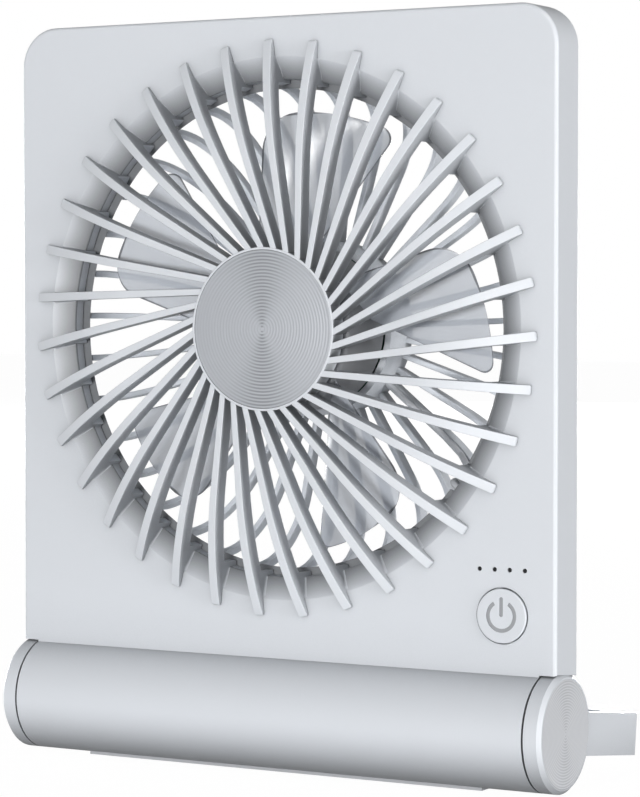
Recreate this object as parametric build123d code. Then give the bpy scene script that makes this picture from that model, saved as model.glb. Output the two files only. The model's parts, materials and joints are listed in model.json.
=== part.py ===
from build123d import *

import os
from math import asin, cos, degrees, hypot, radians, sin, sqrt

# Slim folding desk fan: an upright panel on a round battery tube, with a U-shaped stand.
# Frame: X to the right along the tube, -Y towards the user, Z up from the table, millimetres.
# The origin is the middle of the base pad's underside.

# Driving sizes of the air path
THROAT_R = 60.0
BELL_WIDTH = 5.2
BELL_DEPTH = 2.5
THROAT_LENGTH = 3.1
RING_WALL = 1.4
RING_FLANGE = 2.4
RING_FLANGE_THICK = 1.5
INTAKE_STEP = 2.0

# Driving sizes of the front fins and hub
FIN_COUNT = 35
FIN_OFFSET = 9.38
FIN_PHASE = -9.28
FIN_OVERHANG = 4.3
FIN_TIP_WIDTH = 2.3
FIN_ROOT_WIDTH = 1.5
FIN_TIP_HEIGHT = 0.9
FIN_DEPTH = 4.2
FIN_WEB_STEP = 1.0
FIN_PLATEAU_R = 40.0
HUB_RISE = 6.7
HUB_DEPTH = 5.0
HUB_R = 19.6
HUB_RIM = 0.6
HUB_WALL = 2.0
HUB_CAP_THICK = 1.2
HUB_CAP_SINK = 0.15

# Driving sizes of the panel
SIDE_MARGIN = 4.95
TOP_MARGIN = 5.57
BASE_MARGIN = 9.47
PANEL_FRONT = -4.53
PANEL_DEPTH = 11.36
CORNER_R = 9.75
EDGE_R = 0.9
WALL = 1.8
COVER_THICK = 1.8

# Driving sizes of the tube and the stand
TUBE_R = 14.0
TUBE_WALL = 2.0
PAD_PROUD = 0.3
PAD_LENGTH = 110.0
PAD_WIDTH = 7.0
PAD_THICK = 1.2
HUB_GAP = 0.5
STAND_HUB_THICK = 4.23
CAP_PROUD = 0.4
CAP_BEVEL = 0.9
CAP_DISC_R = 12.6
CAP_DISC_THICK = 1.25
PLUG_LENGTH = 12.0
ARM_REACH = 42.36
ARM_HEIGHT = 10.2
ARM_THICK = 3.6
ARM_INSET = 0.35
ARM_SLOPE = 7.46
ARM_EDGE_R = 1.2
BAR_THICK = 4.0
FOOT_LENGTH = 16.0
FOOT_X = 50.0
FOOT_WIDTH = 3.0

# Hinge of the stand
PIN_R = 4.0
PIN_HEAD_R = 6.0
PIN_HEAD_THICK = 0.7
PIN_FLOOR = 2.0
PIN_THREAD_R = 3.0
PIN_THREAD_LENGTH = 9.0
WASHER_R = 10.0

# Button, lights and switch
BUTTON_R = 6.35
BUTTON_GAP = 0.2
BUTTON_PROUD = 0.5
BUTTON_FLANGE = 1.1
BUTTON_FLANGE_THICK = 1.0
BUTTON_POST_R = 2.0
BUTTON_FROM_EDGE = 13.75
BUTTON_ABOVE_TUBE = 13.0
BUTTON_TRAVEL = 0.5
SYMBOL_R = 3.4
SYMBOL_STROKE = 0.9
SYMBOL_DEPTH = 0.3
SYMBOL_GAP_ANGLE = 32.5
SYMBOL_BAR = (-0.2, 4.4)
LED_COUNT = 4
LED_PITCH = 3.87
LED_HOLE_R = 0.55
LED_ABOVE_BUTTON = 10.7
LED_SIZE = (1.6, 0.6, 0.8)
GUIDE_SIZE = (15.0, 2.8)
GUIDE_SINK = 0.4
SWITCH_SIZE = 6.0
SWITCH_HEIGHT = 3.0
PLUNGER_R = 1.7
PLUNGER_PROUD = 0.7
PLUNGER_LENGTH = 2.2
BOARD_THICK = 1.2
BOARD_WIDTH = 20.5
BOARD_HEIGHT = 26.0
BOARD_LOW = 9.3
BOARD_POST_R = 1.6
BOARD_EDGE = 2.4

# Motor, impeller and bearings
SHAFT_R = 1.5
BEARING_R = 4.0
BEARING_WIDTH = 3.0
BEARING_TUBE_WALL = 1.2
BEARING_TUBE_FRONT = 3.0
IMPELLER_HUB_STEP = 1.5
IMPELLER_HUB_WALL = 2.2
IMPELLER_FRONT_GAP = 1.3
IMPELLER_LENGTH = 18.0
IMPELLER_EDGE_R = 2.0
BLADE_COUNT = 5
BLADE_STATIONS = 4
BLADE_TIP_GAP = 3.0
BLADE_THICK = 1.5
BLADE_ROOT_CHORD = 9.5
BLADE_TIP_CHORD = 41.5
BLADE_ROOT_SPAN = (1.6, 12.4)
BLADE_TIP_SPAN = (4.6, 11.2)
BLADE_SWEEP = 18.0
BLADE_TIP_SHIFT = 4.0
BLADE_TIP_DROP = 3.0
BLADE_LEAD_R = 9.0
BLADE_TRAIL_R = 2.8
BLADE_PHASE = -3.0
ROTOR_WALL = 1.2
ROTOR_BOSS_R = 4.5
ROTOR_BOSS_LENGTH = 3.2
MAGNET_THICK = 1.6
MAGNET_LENGTH = 11.0
MAGNET_SINK = 1.0
AIR_GAP = 0.6
STATOR_TEETH = 9
STATOR_HEIGHT = 6.0
STATOR_BACK = 2.0
STATOR_TOOTH = 2.4
STATOR_SHOE = 1.8
STATOR_SLOT = 1.8
COIL_WALL = 1.1
MOTOR_BASE_R = 21.5
MOTOR_BASE_WALL = 1.6
MOTOR_BASE_GAP = 1.0
MOTOR_BASE_FLOOR = 1.4
MOTOR_BASE_BACK = 25.3
MOTOR_CAP_THICK = 1.0
MOTOR_BOARD_GAP = 1.9
CLIP_R = 2.7
CLIP_THICK = 0.6

# Rear grille
RIB_COUNT = 35
RIB_PHASE = -4.9
RIB_WIDTH = 1.4
RIB_DEPTH = 3.4
REAR_RING_WIDTH = 7.0
REAR_RING_BEVEL = 1.2
REAR_RING_THICK = 1.5
SHELF_THICK = 1.8
SHELF_LAP = 1.5
RIB_EDGE_STEP = 2.5

# Battery, charging and wiring
CELL_R = 9.2
CELL_LENGTH = 65.0
CELL_FROM_PLUG = 6.0
CELL_NUB_LENGTH = 1.0
CONTACT_R = 7.0
CONTACT_THICK = 0.4
CRADLE_WIDTH = 8.0
CRADLE_INSET = 10.0
USB_FROM_PLUG = 13.12
USB_ANGLE = 30.0
USB_SIZE = (8.94, 7.35, 3.26)
USB_SHELL = 0.3
USB_BACK = 1.0
USB_TONGUE = (6.7, 5.0, 0.7)
CHARGE_BOARD_WIDTH = 18.0
CHARGE_BOARD_DEPTH = 17.0
LEAD_R = 0.8
LEAD_HOLE_R = 2.4
LEAD_RIB_GAP = 0.2
LEAD_STOPS = 3

# Fasteners
SCREW_R = 1.1
SCREW_HEAD_R = 2.3
SCREW_HEAD_THICK = 1.1
BOSS_R = 3.2
CASE_SCREW_INSET = 8.0
CASE_SCREW_FROM_BOARD = 8.45
CASE_SCREW_LOW_Z = 8.4
SCREW_BITE = 6.0
GRILLE_SCREW_COUNT = 5
GRILLE_SCREW_R = 0.8
GRILLE_SCREW_HEAD_R = 1.5
GRILLE_SCREW_HEAD_THICK = 0.7
GRILLE_SCREW_BITE = 1.4
GRILLE_SCREW_EDGE = 0.5
NECK_FROM_CELL = 6.74
NECK_BLOCK = (10.0, 6.5, 8.0)

# Clearances
SEAT = 0.05
SLIP = 0.15
RUN = 0.04
NEAR = 0.02

# How far a cutting shape runs past the face that it cuts
OVERCUT = 1.0

# Places that follow from the driving sizes
BELL_R = THROAT_R + BELL_WIDTH
FIN_TIP_R = BELL_R + FIN_OVERHANG
INTAKE_R = THROAT_R - INTAKE_STEP
HALF_WIDTH = FIN_TIP_R + SIDE_MARGIN
AXIS_Z = TUBE_R + PAD_PROUD
TUBE_TOP = AXIS_Z + TUBE_R
FAN_Z = TUBE_TOP + BASE_MARGIN + FIN_TIP_R
PANEL_TOP = FAN_Z + FIN_TIP_R + TOP_MARGIN
PANEL_BACK = PANEL_FRONT + PANEL_DEPTH
INNER_FRONT = PANEL_FRONT + WALL
COVER_FRONT = PANEL_BACK - COVER_THICK
TUBE_INNER_R = TUBE_R - TUBE_WALL
CAP_X = HALF_WIDTH + CAP_PROUD
STAND_HUB_X = CAP_X - STAND_HUB_THICK
TUBE_END = STAND_HUB_X - HUB_GAP
HUB_FRONT = PANEL_FRONT - HUB_RISE
HUB_BACK = HUB_FRONT + HUB_DEPTH
THROAT_FRONT = PANEL_FRONT + BELL_DEPTH
THROAT_BACK = THROAT_FRONT + THROAT_LENGTH
BUTTON_X = HALF_WIDTH - BUTTON_FROM_EDGE
BUTTON_Z = TUBE_TOP + BUTTON_ABOVE_TUBE
LED_Z = BUTTON_Z + LED_ABOVE_BUTTON
BUTTON_BACK = INNER_FRONT + SLIP + BUTTON_FLANGE_THICK
PLUNGER_FRONT = BUTTON_BACK + SLIP
SWITCH_FRONT = PLUNGER_FRONT + PLUNGER_PROUD
BOARD_FRONT = SWITCH_FRONT + SWITCH_HEIGHT
BOARD_BACK = BOARD_FRONT + BOARD_THICK
BOARD_Z = TUBE_TOP + BOARD_LOW - BOARD_EDGE + BOARD_HEIGHT / 2
IMPELLER_FRONT = HUB_BACK + IMPELLER_FRONT_GAP
IMPELLER_BACK = IMPELLER_FRONT + IMPELLER_LENGTH
MOTOR_BASE_FRONT = IMPELLER_BACK + MOTOR_BASE_GAP
MOTOR_FLOOR_BACK = MOTOR_BASE_BACK - MOTOR_CAP_THICK
MOTOR_FLOOR_FRONT = MOTOR_FLOOR_BACK - MOTOR_BASE_FLOOR
BEARING_TUBE_R = BEARING_R + BEARING_TUBE_WALL
MOTOR_BOARD_R = MOTOR_BASE_R - MOTOR_BASE_WALL - MOTOR_BOARD_GAP
IMPELLER_HUB_R = MOTOR_BASE_R - IMPELLER_HUB_STEP
ROTOR_FRONT = IMPELLER_FRONT + IMPELLER_HUB_WALL + NEAR
ROTOR_R = IMPELLER_HUB_R - IMPELLER_HUB_WALL - NEAR
ROTOR_BACK = IMPELLER_BACK - NEAR
MAGNET_R = ROTOR_R - ROTOR_WALL - NEAR
STATOR_R = MAGNET_R - MAGNET_THICK - AIR_GAP
MAGNET_BACK = ROTOR_BACK - MAGNET_SINK
STATOR_Y = MAGNET_BACK - MAGNET_LENGTH / 2
MOTOR_BOARD_BACK = MOTOR_FLOOR_FRONT - NEAR
PLUG_INNER = TUBE_END - PLUG_LENGTH
USB_X = PLUG_INNER - USB_FROM_PLUG
CELL_LEFT = -PLUG_INNER + CELL_FROM_PLUG
CELL_RIGHT = CELL_LEFT + CELL_LENGTH
BLADE_TIP_R = INTAKE_R - BLADE_TIP_GAP
RING_FRONT = THROAT_BACK + 2 * SLIP
RING_BACK = RING_FRONT + REAR_RING_THICK
RING_OUTER = INTAKE_R + REAR_RING_WIDTH
RING_CLEAR = THROAT_R + RING_WALL + 2 * SLIP
RIB_EDGE_R = INTAKE_R + RIB_EDGE_STEP
RIB_PLATEAU_R = RIB_EDGE_R - (MOTOR_BASE_BACK - PANEL_BACK)
RIB_BEND_FRONT = PANEL_BACK - REAR_RING_THICK


def turned_on_fan(*outline):
    """Solid turned about the fan axis from points in (radius, y)."""
    return Pos(0, 0, FAN_Z) * revolve(make_face(Polyline(*outline, close=True)), Axis.Y)


def turned_on_tube(*outline):
    """Solid turned about the tube axis from points in (x, radius)."""
    return Pos(0, 0, AXIS_Z) * revolve(make_face(Polyline(*outline, close=True)), Axis.X)


def slab(sketch, front, back):
    """Extrusion of an (x, z) sketch between two y values."""
    return Pos(0, back, 0) * extrude(Plane.XZ * sketch, back - front)


def rod_y(radius, front, back, x, z):
    """Round rod along Y."""
    return Pos(x, (front + back) / 2, z) * Rot(90, 0, 0) * Cylinder(radius, back - front)


def rod_x(radius, left, right, y=0.0, z=AXIS_Z):
    """Round rod along X."""
    return Pos((left + right) / 2, y, z) * Rot(0, 90, 0) * Cylinder(radius, right - left)


def rod_z(radius, low, high, x, y):
    """Round rod along Z."""
    return Pos(x, y, (low + high) / 2) * Cylinder(radius, high - low)


def block(x, y, z):
    """Box from three (low, high) pairs."""
    size = [high - low for low, high in (x, y, z)]
    middle = [(high + low) / 2 for low, high in (x, y, z)]
    return Pos(*middle) * Box(*size)


def around_fan(shape, angle):
    """Copy of a shape turned clockwise about the fan axis, as seen from the front."""
    return Pos(0, 0, FAN_Z) * Rot(0, angle, 0) * Pos(0, 0, -FAN_Z) * shape


def mirrored(shape):
    """Copy of a shape on the other side of the X = 0 plane."""
    return mirror(shape, Plane.YZ)


def panel_sketch(inset, corner):
    """Panel outline in (x, z), with round upper corners and its foot on the tube axis."""
    half = HALF_WIDTH - inset
    top = PANEL_TOP - inset
    outline = make_face(Polyline((-half, AXIS_Z), (half, AXIS_Z), (half, top), (-half, top), close=True))
    return fillet(outline.vertices().sort_by(Axis.Y)[-2:], corner)


def tube_cut(gap):
    """Room for the tube, with wider room beside the turning stand hubs."""
    reach = CAP_X + HUB_GAP
    room = rod_x(TUBE_R + gap, -reach, reach)
    for side in (-1, 1):
        ends = sorted((side * TUBE_END, side * reach))
        room += rod_x(TUBE_R + HUB_GAP, *ends)
    return room


def case_screw_places():
    """Centres (x, z) of the four screws that hold the rear cover."""
    high = PANEL_TOP - CASE_SCREW_INSET
    wide = HALF_WIDTH - CASE_SCREW_INSET
    low = TUBE_TOP + CASE_SCREW_LOW_Z
    inner = BUTTON_X - BOARD_WIDTH / 2 - CASE_SCREW_FROM_BOARD
    return [(-wide, high), (wide, high), (-inner, low), (inner, low)]


def neck_places():
    """X places of the screws between the tube and the panel, clear of the cell's cradles."""
    return [CELL_LEFT + CELL_LENGTH / 2, CELL_RIGHT + NECK_FROM_CELL]


def led_places():
    """X places of the status lights."""
    first = BUTTON_X - LED_PITCH * (LED_COUNT - 1) / 2
    return [first + LED_PITCH * step for step in range(LED_COUNT)]


def board_post_places():
    """Centres (x, z) of the two posts that carry the control board."""
    half = BOARD_WIDTH / 2 - BOARD_EDGE
    rise = BOARD_HEIGHT / 2 - BOARD_EDGE
    return [(BUTTON_X + half, BOARD_Z - rise), (BUTTON_X + half, BOARD_Z + rise)]


def front_shell():
    """Panel front and side walls, with the screw bosses inside."""
    shell = slab(panel_sketch(0, CORNER_R), PANEL_FRONT, PANEL_BACK)
    rim = shell.faces().sort_by(Axis.Y)[0].edges().sort_by(Axis.Z)[1:]
    shell = fillet(rim, EDGE_R)
    shell -= slab(panel_sketch(WALL, CORNER_R - WALL), INNER_FRONT, PANEL_BACK)
    width, depth, height = NECK_BLOCK
    for x in neck_places():
        shell += block((x - width / 2, x + width / 2), (INNER_FRONT, INNER_FRONT + depth),
                       (AXIS_Z, TUBE_TOP + height))
    for x, z in case_screw_places():
        shell += rod_y(BOSS_R, INNER_FRONT, COVER_FRONT, x, z)
    for x, z in case_screw_places():
        shell -= rod_y(SCREW_R + NEAR, COVER_FRONT - SCREW_BITE, COVER_FRONT, x, z)
    for x in neck_places():
        shell -= rod_z(SCREW_R + NEAR, AXIS_Z, TUBE_TOP + SCREW_BITE, x, 0)
    shell -= rod_y(BELL_R + SEAT, PANEL_FRONT - WALL, INNER_FRONT + SEAT, 0, FAN_Z)
    shell -= rod_y(BUTTON_R + BUTTON_GAP, PANEL_FRONT - WALL, INNER_FRONT + SEAT, BUTTON_X, BUTTON_Z)
    for x in led_places():
        shell -= rod_y(LED_HOLE_R, PANEL_FRONT - WALL, INNER_FRONT + SEAT, x, LED_Z)
    return shell - tube_cut(SEAT)


def tube_barrel():
    """Battery tube with its pad groove, screw holes, lead hole and socket slot."""
    tube = rod_x(TUBE_R, -TUBE_END, TUBE_END) - rod_x(TUBE_INNER_R, -TUBE_END, TUBE_END)
    tube -= block((-PAD_LENGTH / 2 - SEAT, PAD_LENGTH / 2 + SEAT),
                  (-PAD_WIDTH / 2 - SEAT, PAD_WIDTH / 2 + SEAT), (0, PAD_THICK + SEAT))
    for x in neck_places():
        tube -= rod_z(SCREW_R + SLIP, AXIS_Z, TUBE_TOP + SEAT, x, 0)
    tube -= rod_z(LEAD_HOLE_R, AXIS_Z, TUBE_TOP + SEAT, lead_x(), lead_y())
    width, _, height = USB_SIZE
    slot = SlotOverall(width + 2 * SLIP, height + 2 * SLIP)
    return tube - usb_place() * extrude(Plane.XZ * slot, -TUBE_R - SEAT)


def base_pad():
    """Anti-slip strip with a flat underside."""
    return block((-PAD_LENGTH / 2, PAD_LENGTH / 2), (-PAD_WIDTH / 2, PAD_WIDTH / 2), (0, PAD_THICK))


def fin_outline(offset, inner, outer, root_width, tip_width):
    """Straight tapered bar in (x, z) that passes the fan axis at a distance."""
    low = sqrt(inner ** 2 - offset ** 2)
    high = sqrt(outer ** 2 - offset ** 2)
    root = root_width / 2
    tip = tip_width / 2
    return make_face(Polyline((offset - root, low), (offset + root, low),
                              (offset + tip, high), (offset - tip, high), close=True))


def bar_crown(outline, count, phase, front, back):
    """Ring of bars about the fan axis, from one outline drawn about the origin."""
    bars = Sketch() + [Rot(0, 0, -(phase + step * 360 / count)) * outline for step in range(count)]
    return Pos(0, 0, FAN_Z) * slab(bars, front, back)


def bell_ring():
    """Bell-mouth ring behind the panel's opening."""
    flange_front = INNER_FRONT + SEAT
    flange_back = flange_front + RING_FLANGE_THICK
    ring = turned_on_fan((BELL_R, PANEL_FRONT), (THROAT_R, THROAT_FRONT), (THROAT_R, THROAT_BACK),
                         (THROAT_R + RING_WALL, THROAT_BACK), (THROAT_R + RING_WALL, flange_back),
                         (BELL_R + RING_FLANGE, flange_back), (BELL_R + RING_FLANGE, flange_front),
                         (BELL_R, flange_front))
    return ring - lead_notch()


def hub_ring():
    """Cup between the fins that carries the turned hub disc."""
    return turned_on_fan((HUB_R - HUB_WALL, HUB_BACK), (HUB_R - HUB_WALL, hub_cap_back() + HUB_CAP_THICK),
                         (0, hub_cap_back() + HUB_CAP_THICK), (0, hub_cap_back()),
                         (HUB_R - HUB_RIM, hub_cap_back()), (HUB_R - HUB_RIM, HUB_FRONT),
                         (HUB_R, HUB_FRONT), (HUB_R, HUB_BACK))


def front_fins():
    """Swirled fins from the hub ring, each with a web in the bell mouth and a free tip."""
    inner = HUB_R - HUB_RIM / 2
    web = THROAT_R - FIN_WEB_STEP
    tip_front = PANEL_FRONT - FIN_TIP_HEIGHT
    face_gap = PANEL_FRONT - SEAT
    back = HUB_FRONT + FIN_DEPTH
    run = FIN_TIP_R - FIN_PLATEAU_R
    rise = tip_front - HUB_FRONT
    crown_r = (run ** 2 + rise ** 2) / (2 * rise)
    web_front = HUB_FRONT + crown_r - sqrt((crown_r - FIN_DEPTH) ** 2 - (web - FIN_PLATEAU_R) ** 2)
    crown = TangentArc((FIN_PLATEAU_R, HUB_FRONT), (FIN_TIP_R, tip_front), tangent=(1, 0))
    foot = Polyline((FIN_TIP_R, tip_front), (FIN_TIP_R, face_gap), (BELL_R, face_gap),
                    (BELL_R, PANEL_FRONT + SEAT), (THROAT_R, THROAT_FRONT + SEAT), (THROAT_R, THROAT_BACK),
                    (web, THROAT_BACK), (web, web_front))
    under = TangentArc((FIN_PLATEAU_R, back), (web, web_front), tangent=(1, 0))
    root = Polyline((FIN_PLATEAU_R, back), (inner, back), (inner, HUB_FRONT), (FIN_PLATEAU_R, HUB_FRONT))
    section = make_face(root + crown + foot + under)
    envelope = Pos(0, 0, FAN_Z) * revolve(section, Axis.Y)
    outline = fin_outline(FIN_OFFSET, HUB_R - HUB_RIM, FIN_TIP_R + OVERCUT, FIN_ROOT_WIDTH, FIN_TIP_WIDTH)
    fins = bar_crown(outline, FIN_COUNT, FIN_PHASE, HUB_FRONT - OVERCUT, THROAT_BACK) & envelope
    return [fin - bell_ring() - hub_ring() for fin in fins.solids()]


def hub_cap_back():
    """Y of the seat that the turned hub disc lies on."""
    return HUB_FRONT + HUB_CAP_SINK + HUB_CAP_THICK


def hub_cap():
    """Turned metal disc in the middle of the front grille."""
    return rod_y(HUB_R - HUB_RIM - SEAT, HUB_FRONT + HUB_CAP_SINK, hub_cap_back(), 0, FAN_Z)


def rear_cover():
    """Inset rear plate with the intake collar, screw holes and board posts."""
    inset = WALL + SLIP
    plate = slab(panel_sketch(inset, CORNER_R - inset), COVER_FRONT, PANEL_BACK)
    plate -= rod_y(RING_OUTER + SEAT, COVER_FRONT - OVERCUT, PANEL_BACK + OVERCUT, 0, FAN_Z)
    shelf_back = RING_FRONT - SEAT
    shelf_front = shelf_back - SHELF_THICK
    plate += turned_on_fan((RING_CLEAR, shelf_front), (RING_OUTER + SHELF_LAP, shelf_front),
                           (RING_OUTER + SHELF_LAP, PANEL_BACK), (RING_OUTER + SEAT, PANEL_BACK),
                           (RING_OUTER + SEAT, shelf_back), (RING_CLEAR, shelf_back))
    for x, z in case_screw_places():
        plate -= rod_y(SCREW_R + SLIP, COVER_FRONT, PANEL_BACK, x, z)
        plate -= rod_y(SCREW_HEAD_R + SLIP, PANEL_BACK - SCREW_HEAD_THICK - SEAT, PANEL_BACK, x, z)
    for x, z in board_post_places():
        plate += rod_y(BOARD_POST_R, BOARD_BACK + NEAR, COVER_FRONT, x, z)
        plate -= rod_y(GRILLE_SCREW_R + NEAR, BOARD_BACK, COVER_FRONT + GRILLE_SCREW_BITE / 2, x, z)
    for x, z in grille_screw_places():
        plate -= rod_y(GRILLE_SCREW_R + NEAR, shelf_back - GRILLE_SCREW_BITE, shelf_back, x, z)
    return plate - lead_notch() - tube_cut(SLIP)


def lead_notch():
    """Open slot for the motor lead through the throat, the collar and the rear ring."""
    half = LEAD_R + 4 * SLIP
    top = max(RING_BACK, lead_y() + LEAD_R) + SLIP
    reach = (INTAKE_R - RING_WALL, RING_OUTER + SHELF_LAP + RING_WALL)
    slot = block((-half, half), (lead_y() - half, top), reach)
    return Pos(0, 0, FAN_Z) * Rot(0, lead_angle(), 0) * slot


def grille_screw_places():
    """Centres (x, z) of the screws through the rear ring, between its ribs."""
    radius = RING_OUTER - GRILLE_SCREW_HEAD_R - GRILLE_SCREW_EDGE
    phase = RIB_PHASE + 180 / RIB_COUNT
    pitch = 360 / GRILLE_SCREW_COUNT
    turns = [radians(phase + step * pitch) for step in range(GRILLE_SCREW_COUNT)]
    return [(radius * sin(turn), FAN_Z + radius * cos(turn)) for turn in turns]


def rear_ring():
    """Ring that holds the rear ribs on the rear cover."""
    ring = turned_on_fan((INTAKE_R, RING_FRONT), (RING_OUTER, RING_FRONT), (RING_OUTER, RING_BACK),
                         (INTAKE_R + REAR_RING_BEVEL, RING_BACK))
    head_seat = RING_BACK - GRILLE_SCREW_HEAD_THICK - SEAT
    for x, z in grille_screw_places():
        ring -= rod_y(GRILLE_SCREW_R + SLIP, RING_FRONT, RING_BACK, x, z)
        ring -= rod_y(GRILLE_SCREW_HEAD_R + SLIP, head_seat, RING_BACK, x, z)
    return ring - lead_notch()


def motor_cup():
    """Cup between the rear ribs that carries the motor."""
    wall = MOTOR_BASE_R - MOTOR_BASE_WALL
    base = turned_on_fan((MOTOR_BASE_R, MOTOR_BASE_FRONT), (MOTOR_BASE_R, MOTOR_BASE_BACK),
                         (wall, MOTOR_BASE_BACK), (wall, MOTOR_FLOOR_BACK),
                         (BEARING_R + NEAR, MOTOR_FLOOR_BACK), (BEARING_R + NEAR, BEARING_TUBE_FRONT),
                         (BEARING_TUBE_R, BEARING_TUBE_FRONT),
                         (BEARING_TUBE_R, MOTOR_FLOOR_FRONT), (wall, MOTOR_FLOOR_FRONT),
                         (wall, MOTOR_BASE_FRONT))
    entry = rod_z(LEAD_R + SLIP, wall - OVERCUT, MOTOR_BASE_R + OVERCUT, 0, motor_lead_y())
    return base - Pos(0, 0, FAN_Z) * Rot(0, lead_angle(), 0) * entry


def rear_ribs():
    """Bowed ribs between the motor cup and the rear ring, with straight legs at the ring."""
    inner = MOTOR_BASE_R - MOTOR_BASE_WALL / 2
    edge = RIB_EDGE_R
    leg = edge - RIB_DEPTH / 2
    outer_arc = TangentArc((RIB_PLATEAU_R, MOTOR_BASE_BACK), (edge, PANEL_BACK), tangent=(1, 0))
    plateau = MOTOR_BASE_BACK - RIB_DEPTH
    inner_arc = TangentArc((RIB_PLATEAU_R, plateau), (leg, RIB_BEND_FRONT), tangent=(1, 0))
    section = make_face(Line((inner, MOTOR_BASE_BACK), (RIB_PLATEAU_R, MOTOR_BASE_BACK)) + outer_arc
                        + Polyline((edge, PANEL_BACK), (edge, RING_BACK), (leg, RING_BACK),
                                   (leg, RIB_BEND_FRONT))
                        + inner_arc + Polyline((RIB_PLATEAU_R, plateau), (inner, plateau),
                                               (inner, MOTOR_BASE_BACK)))
    envelope = Pos(0, 0, FAN_Z) * revolve(section, Axis.Y)
    outline = fin_outline(0, inner, edge + OVERCUT, RIB_WIDTH, RIB_WIDTH)
    ribs = bar_crown(outline, RIB_COUNT, RIB_PHASE, RING_FRONT - OVERCUT, MOTOR_BASE_BACK + OVERCUT)
    ribs = (ribs & envelope) - lead_notch()
    return [rib - motor_cup() for rib in ribs.solids()]


def motor_cap():
    """Plain disc that closes the back of the motor cup."""
    wall = MOTOR_BASE_R - MOTOR_BASE_WALL
    return rod_y(wall - SEAT, MOTOR_FLOOR_BACK + NEAR, MOTOR_BASE_BACK, 0, FAN_Z)


def motor_bearings():
    """Two bearings in the bearing tube, one at each end."""
    front = BEARING_TUBE_FRONT + SLIP
    back = MOTOR_FLOOR_FRONT - BEARING_WIDTH
    rings = []
    for start in (front, back):
        end = start + BEARING_WIDTH
        rings.append(turned_on_fan((SHAFT_R + RUN, start), (BEARING_R, start),
                                   (BEARING_R, end), (SHAFT_R + RUN, end)))
    return rings


def motor_shaft():
    """Shaft from the rotor boss to just behind the rear bearing."""
    return rod_y(SHAFT_R, ROTOR_FRONT, clip_front() + 2 * CLIP_THICK, 0, FAN_Z)


def clip_front():
    """Y of the front face of the clip behind the rear bearing."""
    return MOTOR_FLOOR_FRONT + SLIP


def shaft_clip():
    """Retaining clip on the shaft's rear end."""
    start = clip_front()
    return turned_on_fan((SHAFT_R + NEAR, start), (CLIP_R, start),
                         (CLIP_R, start + CLIP_THICK), (SHAFT_R + NEAR, start + CLIP_THICK))


def rotor_cup():
    """Steel rotor cup with the boss that holds the shaft."""
    floor = ROTOR_FRONT + ROTOR_WALL
    return turned_on_fan((SHAFT_R + NEAR, ROTOR_FRONT), (ROTOR_R, ROTOR_FRONT), (ROTOR_R, ROTOR_BACK),
                         (ROTOR_R - ROTOR_WALL, ROTOR_BACK), (ROTOR_R - ROTOR_WALL, floor),
                         (ROTOR_BOSS_R, floor), (ROTOR_BOSS_R, ROTOR_FRONT + ROTOR_BOSS_LENGTH),
                         (SHAFT_R + NEAR, ROTOR_FRONT + ROTOR_BOSS_LENGTH))


def magnet_ring():
    """Magnet ring inside the rotor cup."""
    front = MAGNET_BACK - MAGNET_LENGTH
    return turned_on_fan((MAGNET_R - MAGNET_THICK, front), (MAGNET_R, front),
                         (MAGNET_R, MAGNET_BACK), (MAGNET_R - MAGNET_THICK, MAGNET_BACK))


def stator_core():
    """Laminated stator with one shoe on each tooth."""
    front = STATOR_Y - STATOR_HEIGHT / 2
    back = STATOR_Y + STATOR_HEIGHT / 2
    bore = BEARING_TUBE_R + NEAR
    shoe = STATOR_R - STATOR_SHOE
    core = turned_on_fan((shoe, front), (STATOR_R, front), (STATOR_R, back), (shoe, back))
    for tooth in range(STATOR_TEETH):
        angle = tooth * 360 / STATOR_TEETH
        half_pitch = 180 / STATOR_TEETH
        slot = block((-STATOR_SLOT / 2, STATOR_SLOT / 2), (front, back),
                     (FAN_Z + bore, FAN_Z + STATOR_R + OVERCUT))
        core -= around_fan(slot, angle + half_pitch)
    yoke = bore + STATOR_BACK
    core += turned_on_fan((bore, front), (yoke, front), (yoke, back), (bore, back))
    for tooth in range(STATOR_TEETH):
        stem = block((-STATOR_TOOTH / 2, STATOR_TOOTH / 2), (front, back),
                     (FAN_Z + bore + STATOR_BACK / 2, FAN_Z + shoe + STATOR_SHOE / 2))
        core += around_fan(stem, tooth * 360 / STATOR_TEETH)
    return core


def stator_coils():
    """One plain coil round each tooth."""
    inner = STATOR_TOOTH / 2 + NEAR
    outer = inner + COIL_WALL
    half = STATOR_HEIGHT / 2 + NEAR
    low = FAN_Z + BEARING_TUBE_R + STATOR_BACK + 4 * SLIP
    high = FAN_Z + sqrt((STATOR_R - STATOR_SHOE - SLIP) ** 2 - outer ** 2)
    ends = half + COIL_WALL
    coil = block((-outer, outer), (STATOR_Y - ends, STATOR_Y + ends), (low, high))
    coil -= block((-inner, inner), (STATOR_Y - half, STATOR_Y + half), (low, high))
    return [around_fan(coil, tooth * 360 / STATOR_TEETH) for tooth in range(STATOR_TEETH)]


def motor_board():
    """Round driver board on the floor of the motor cup."""
    front = MOTOR_BOARD_BACK - BOARD_THICK
    return turned_on_fan((BEARING_TUBE_R + SLIP, front), (MOTOR_BOARD_R, front),
                         (MOTOR_BOARD_R, MOTOR_BOARD_BACK), (BEARING_TUBE_R + SLIP, MOTOR_BOARD_BACK))


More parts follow.
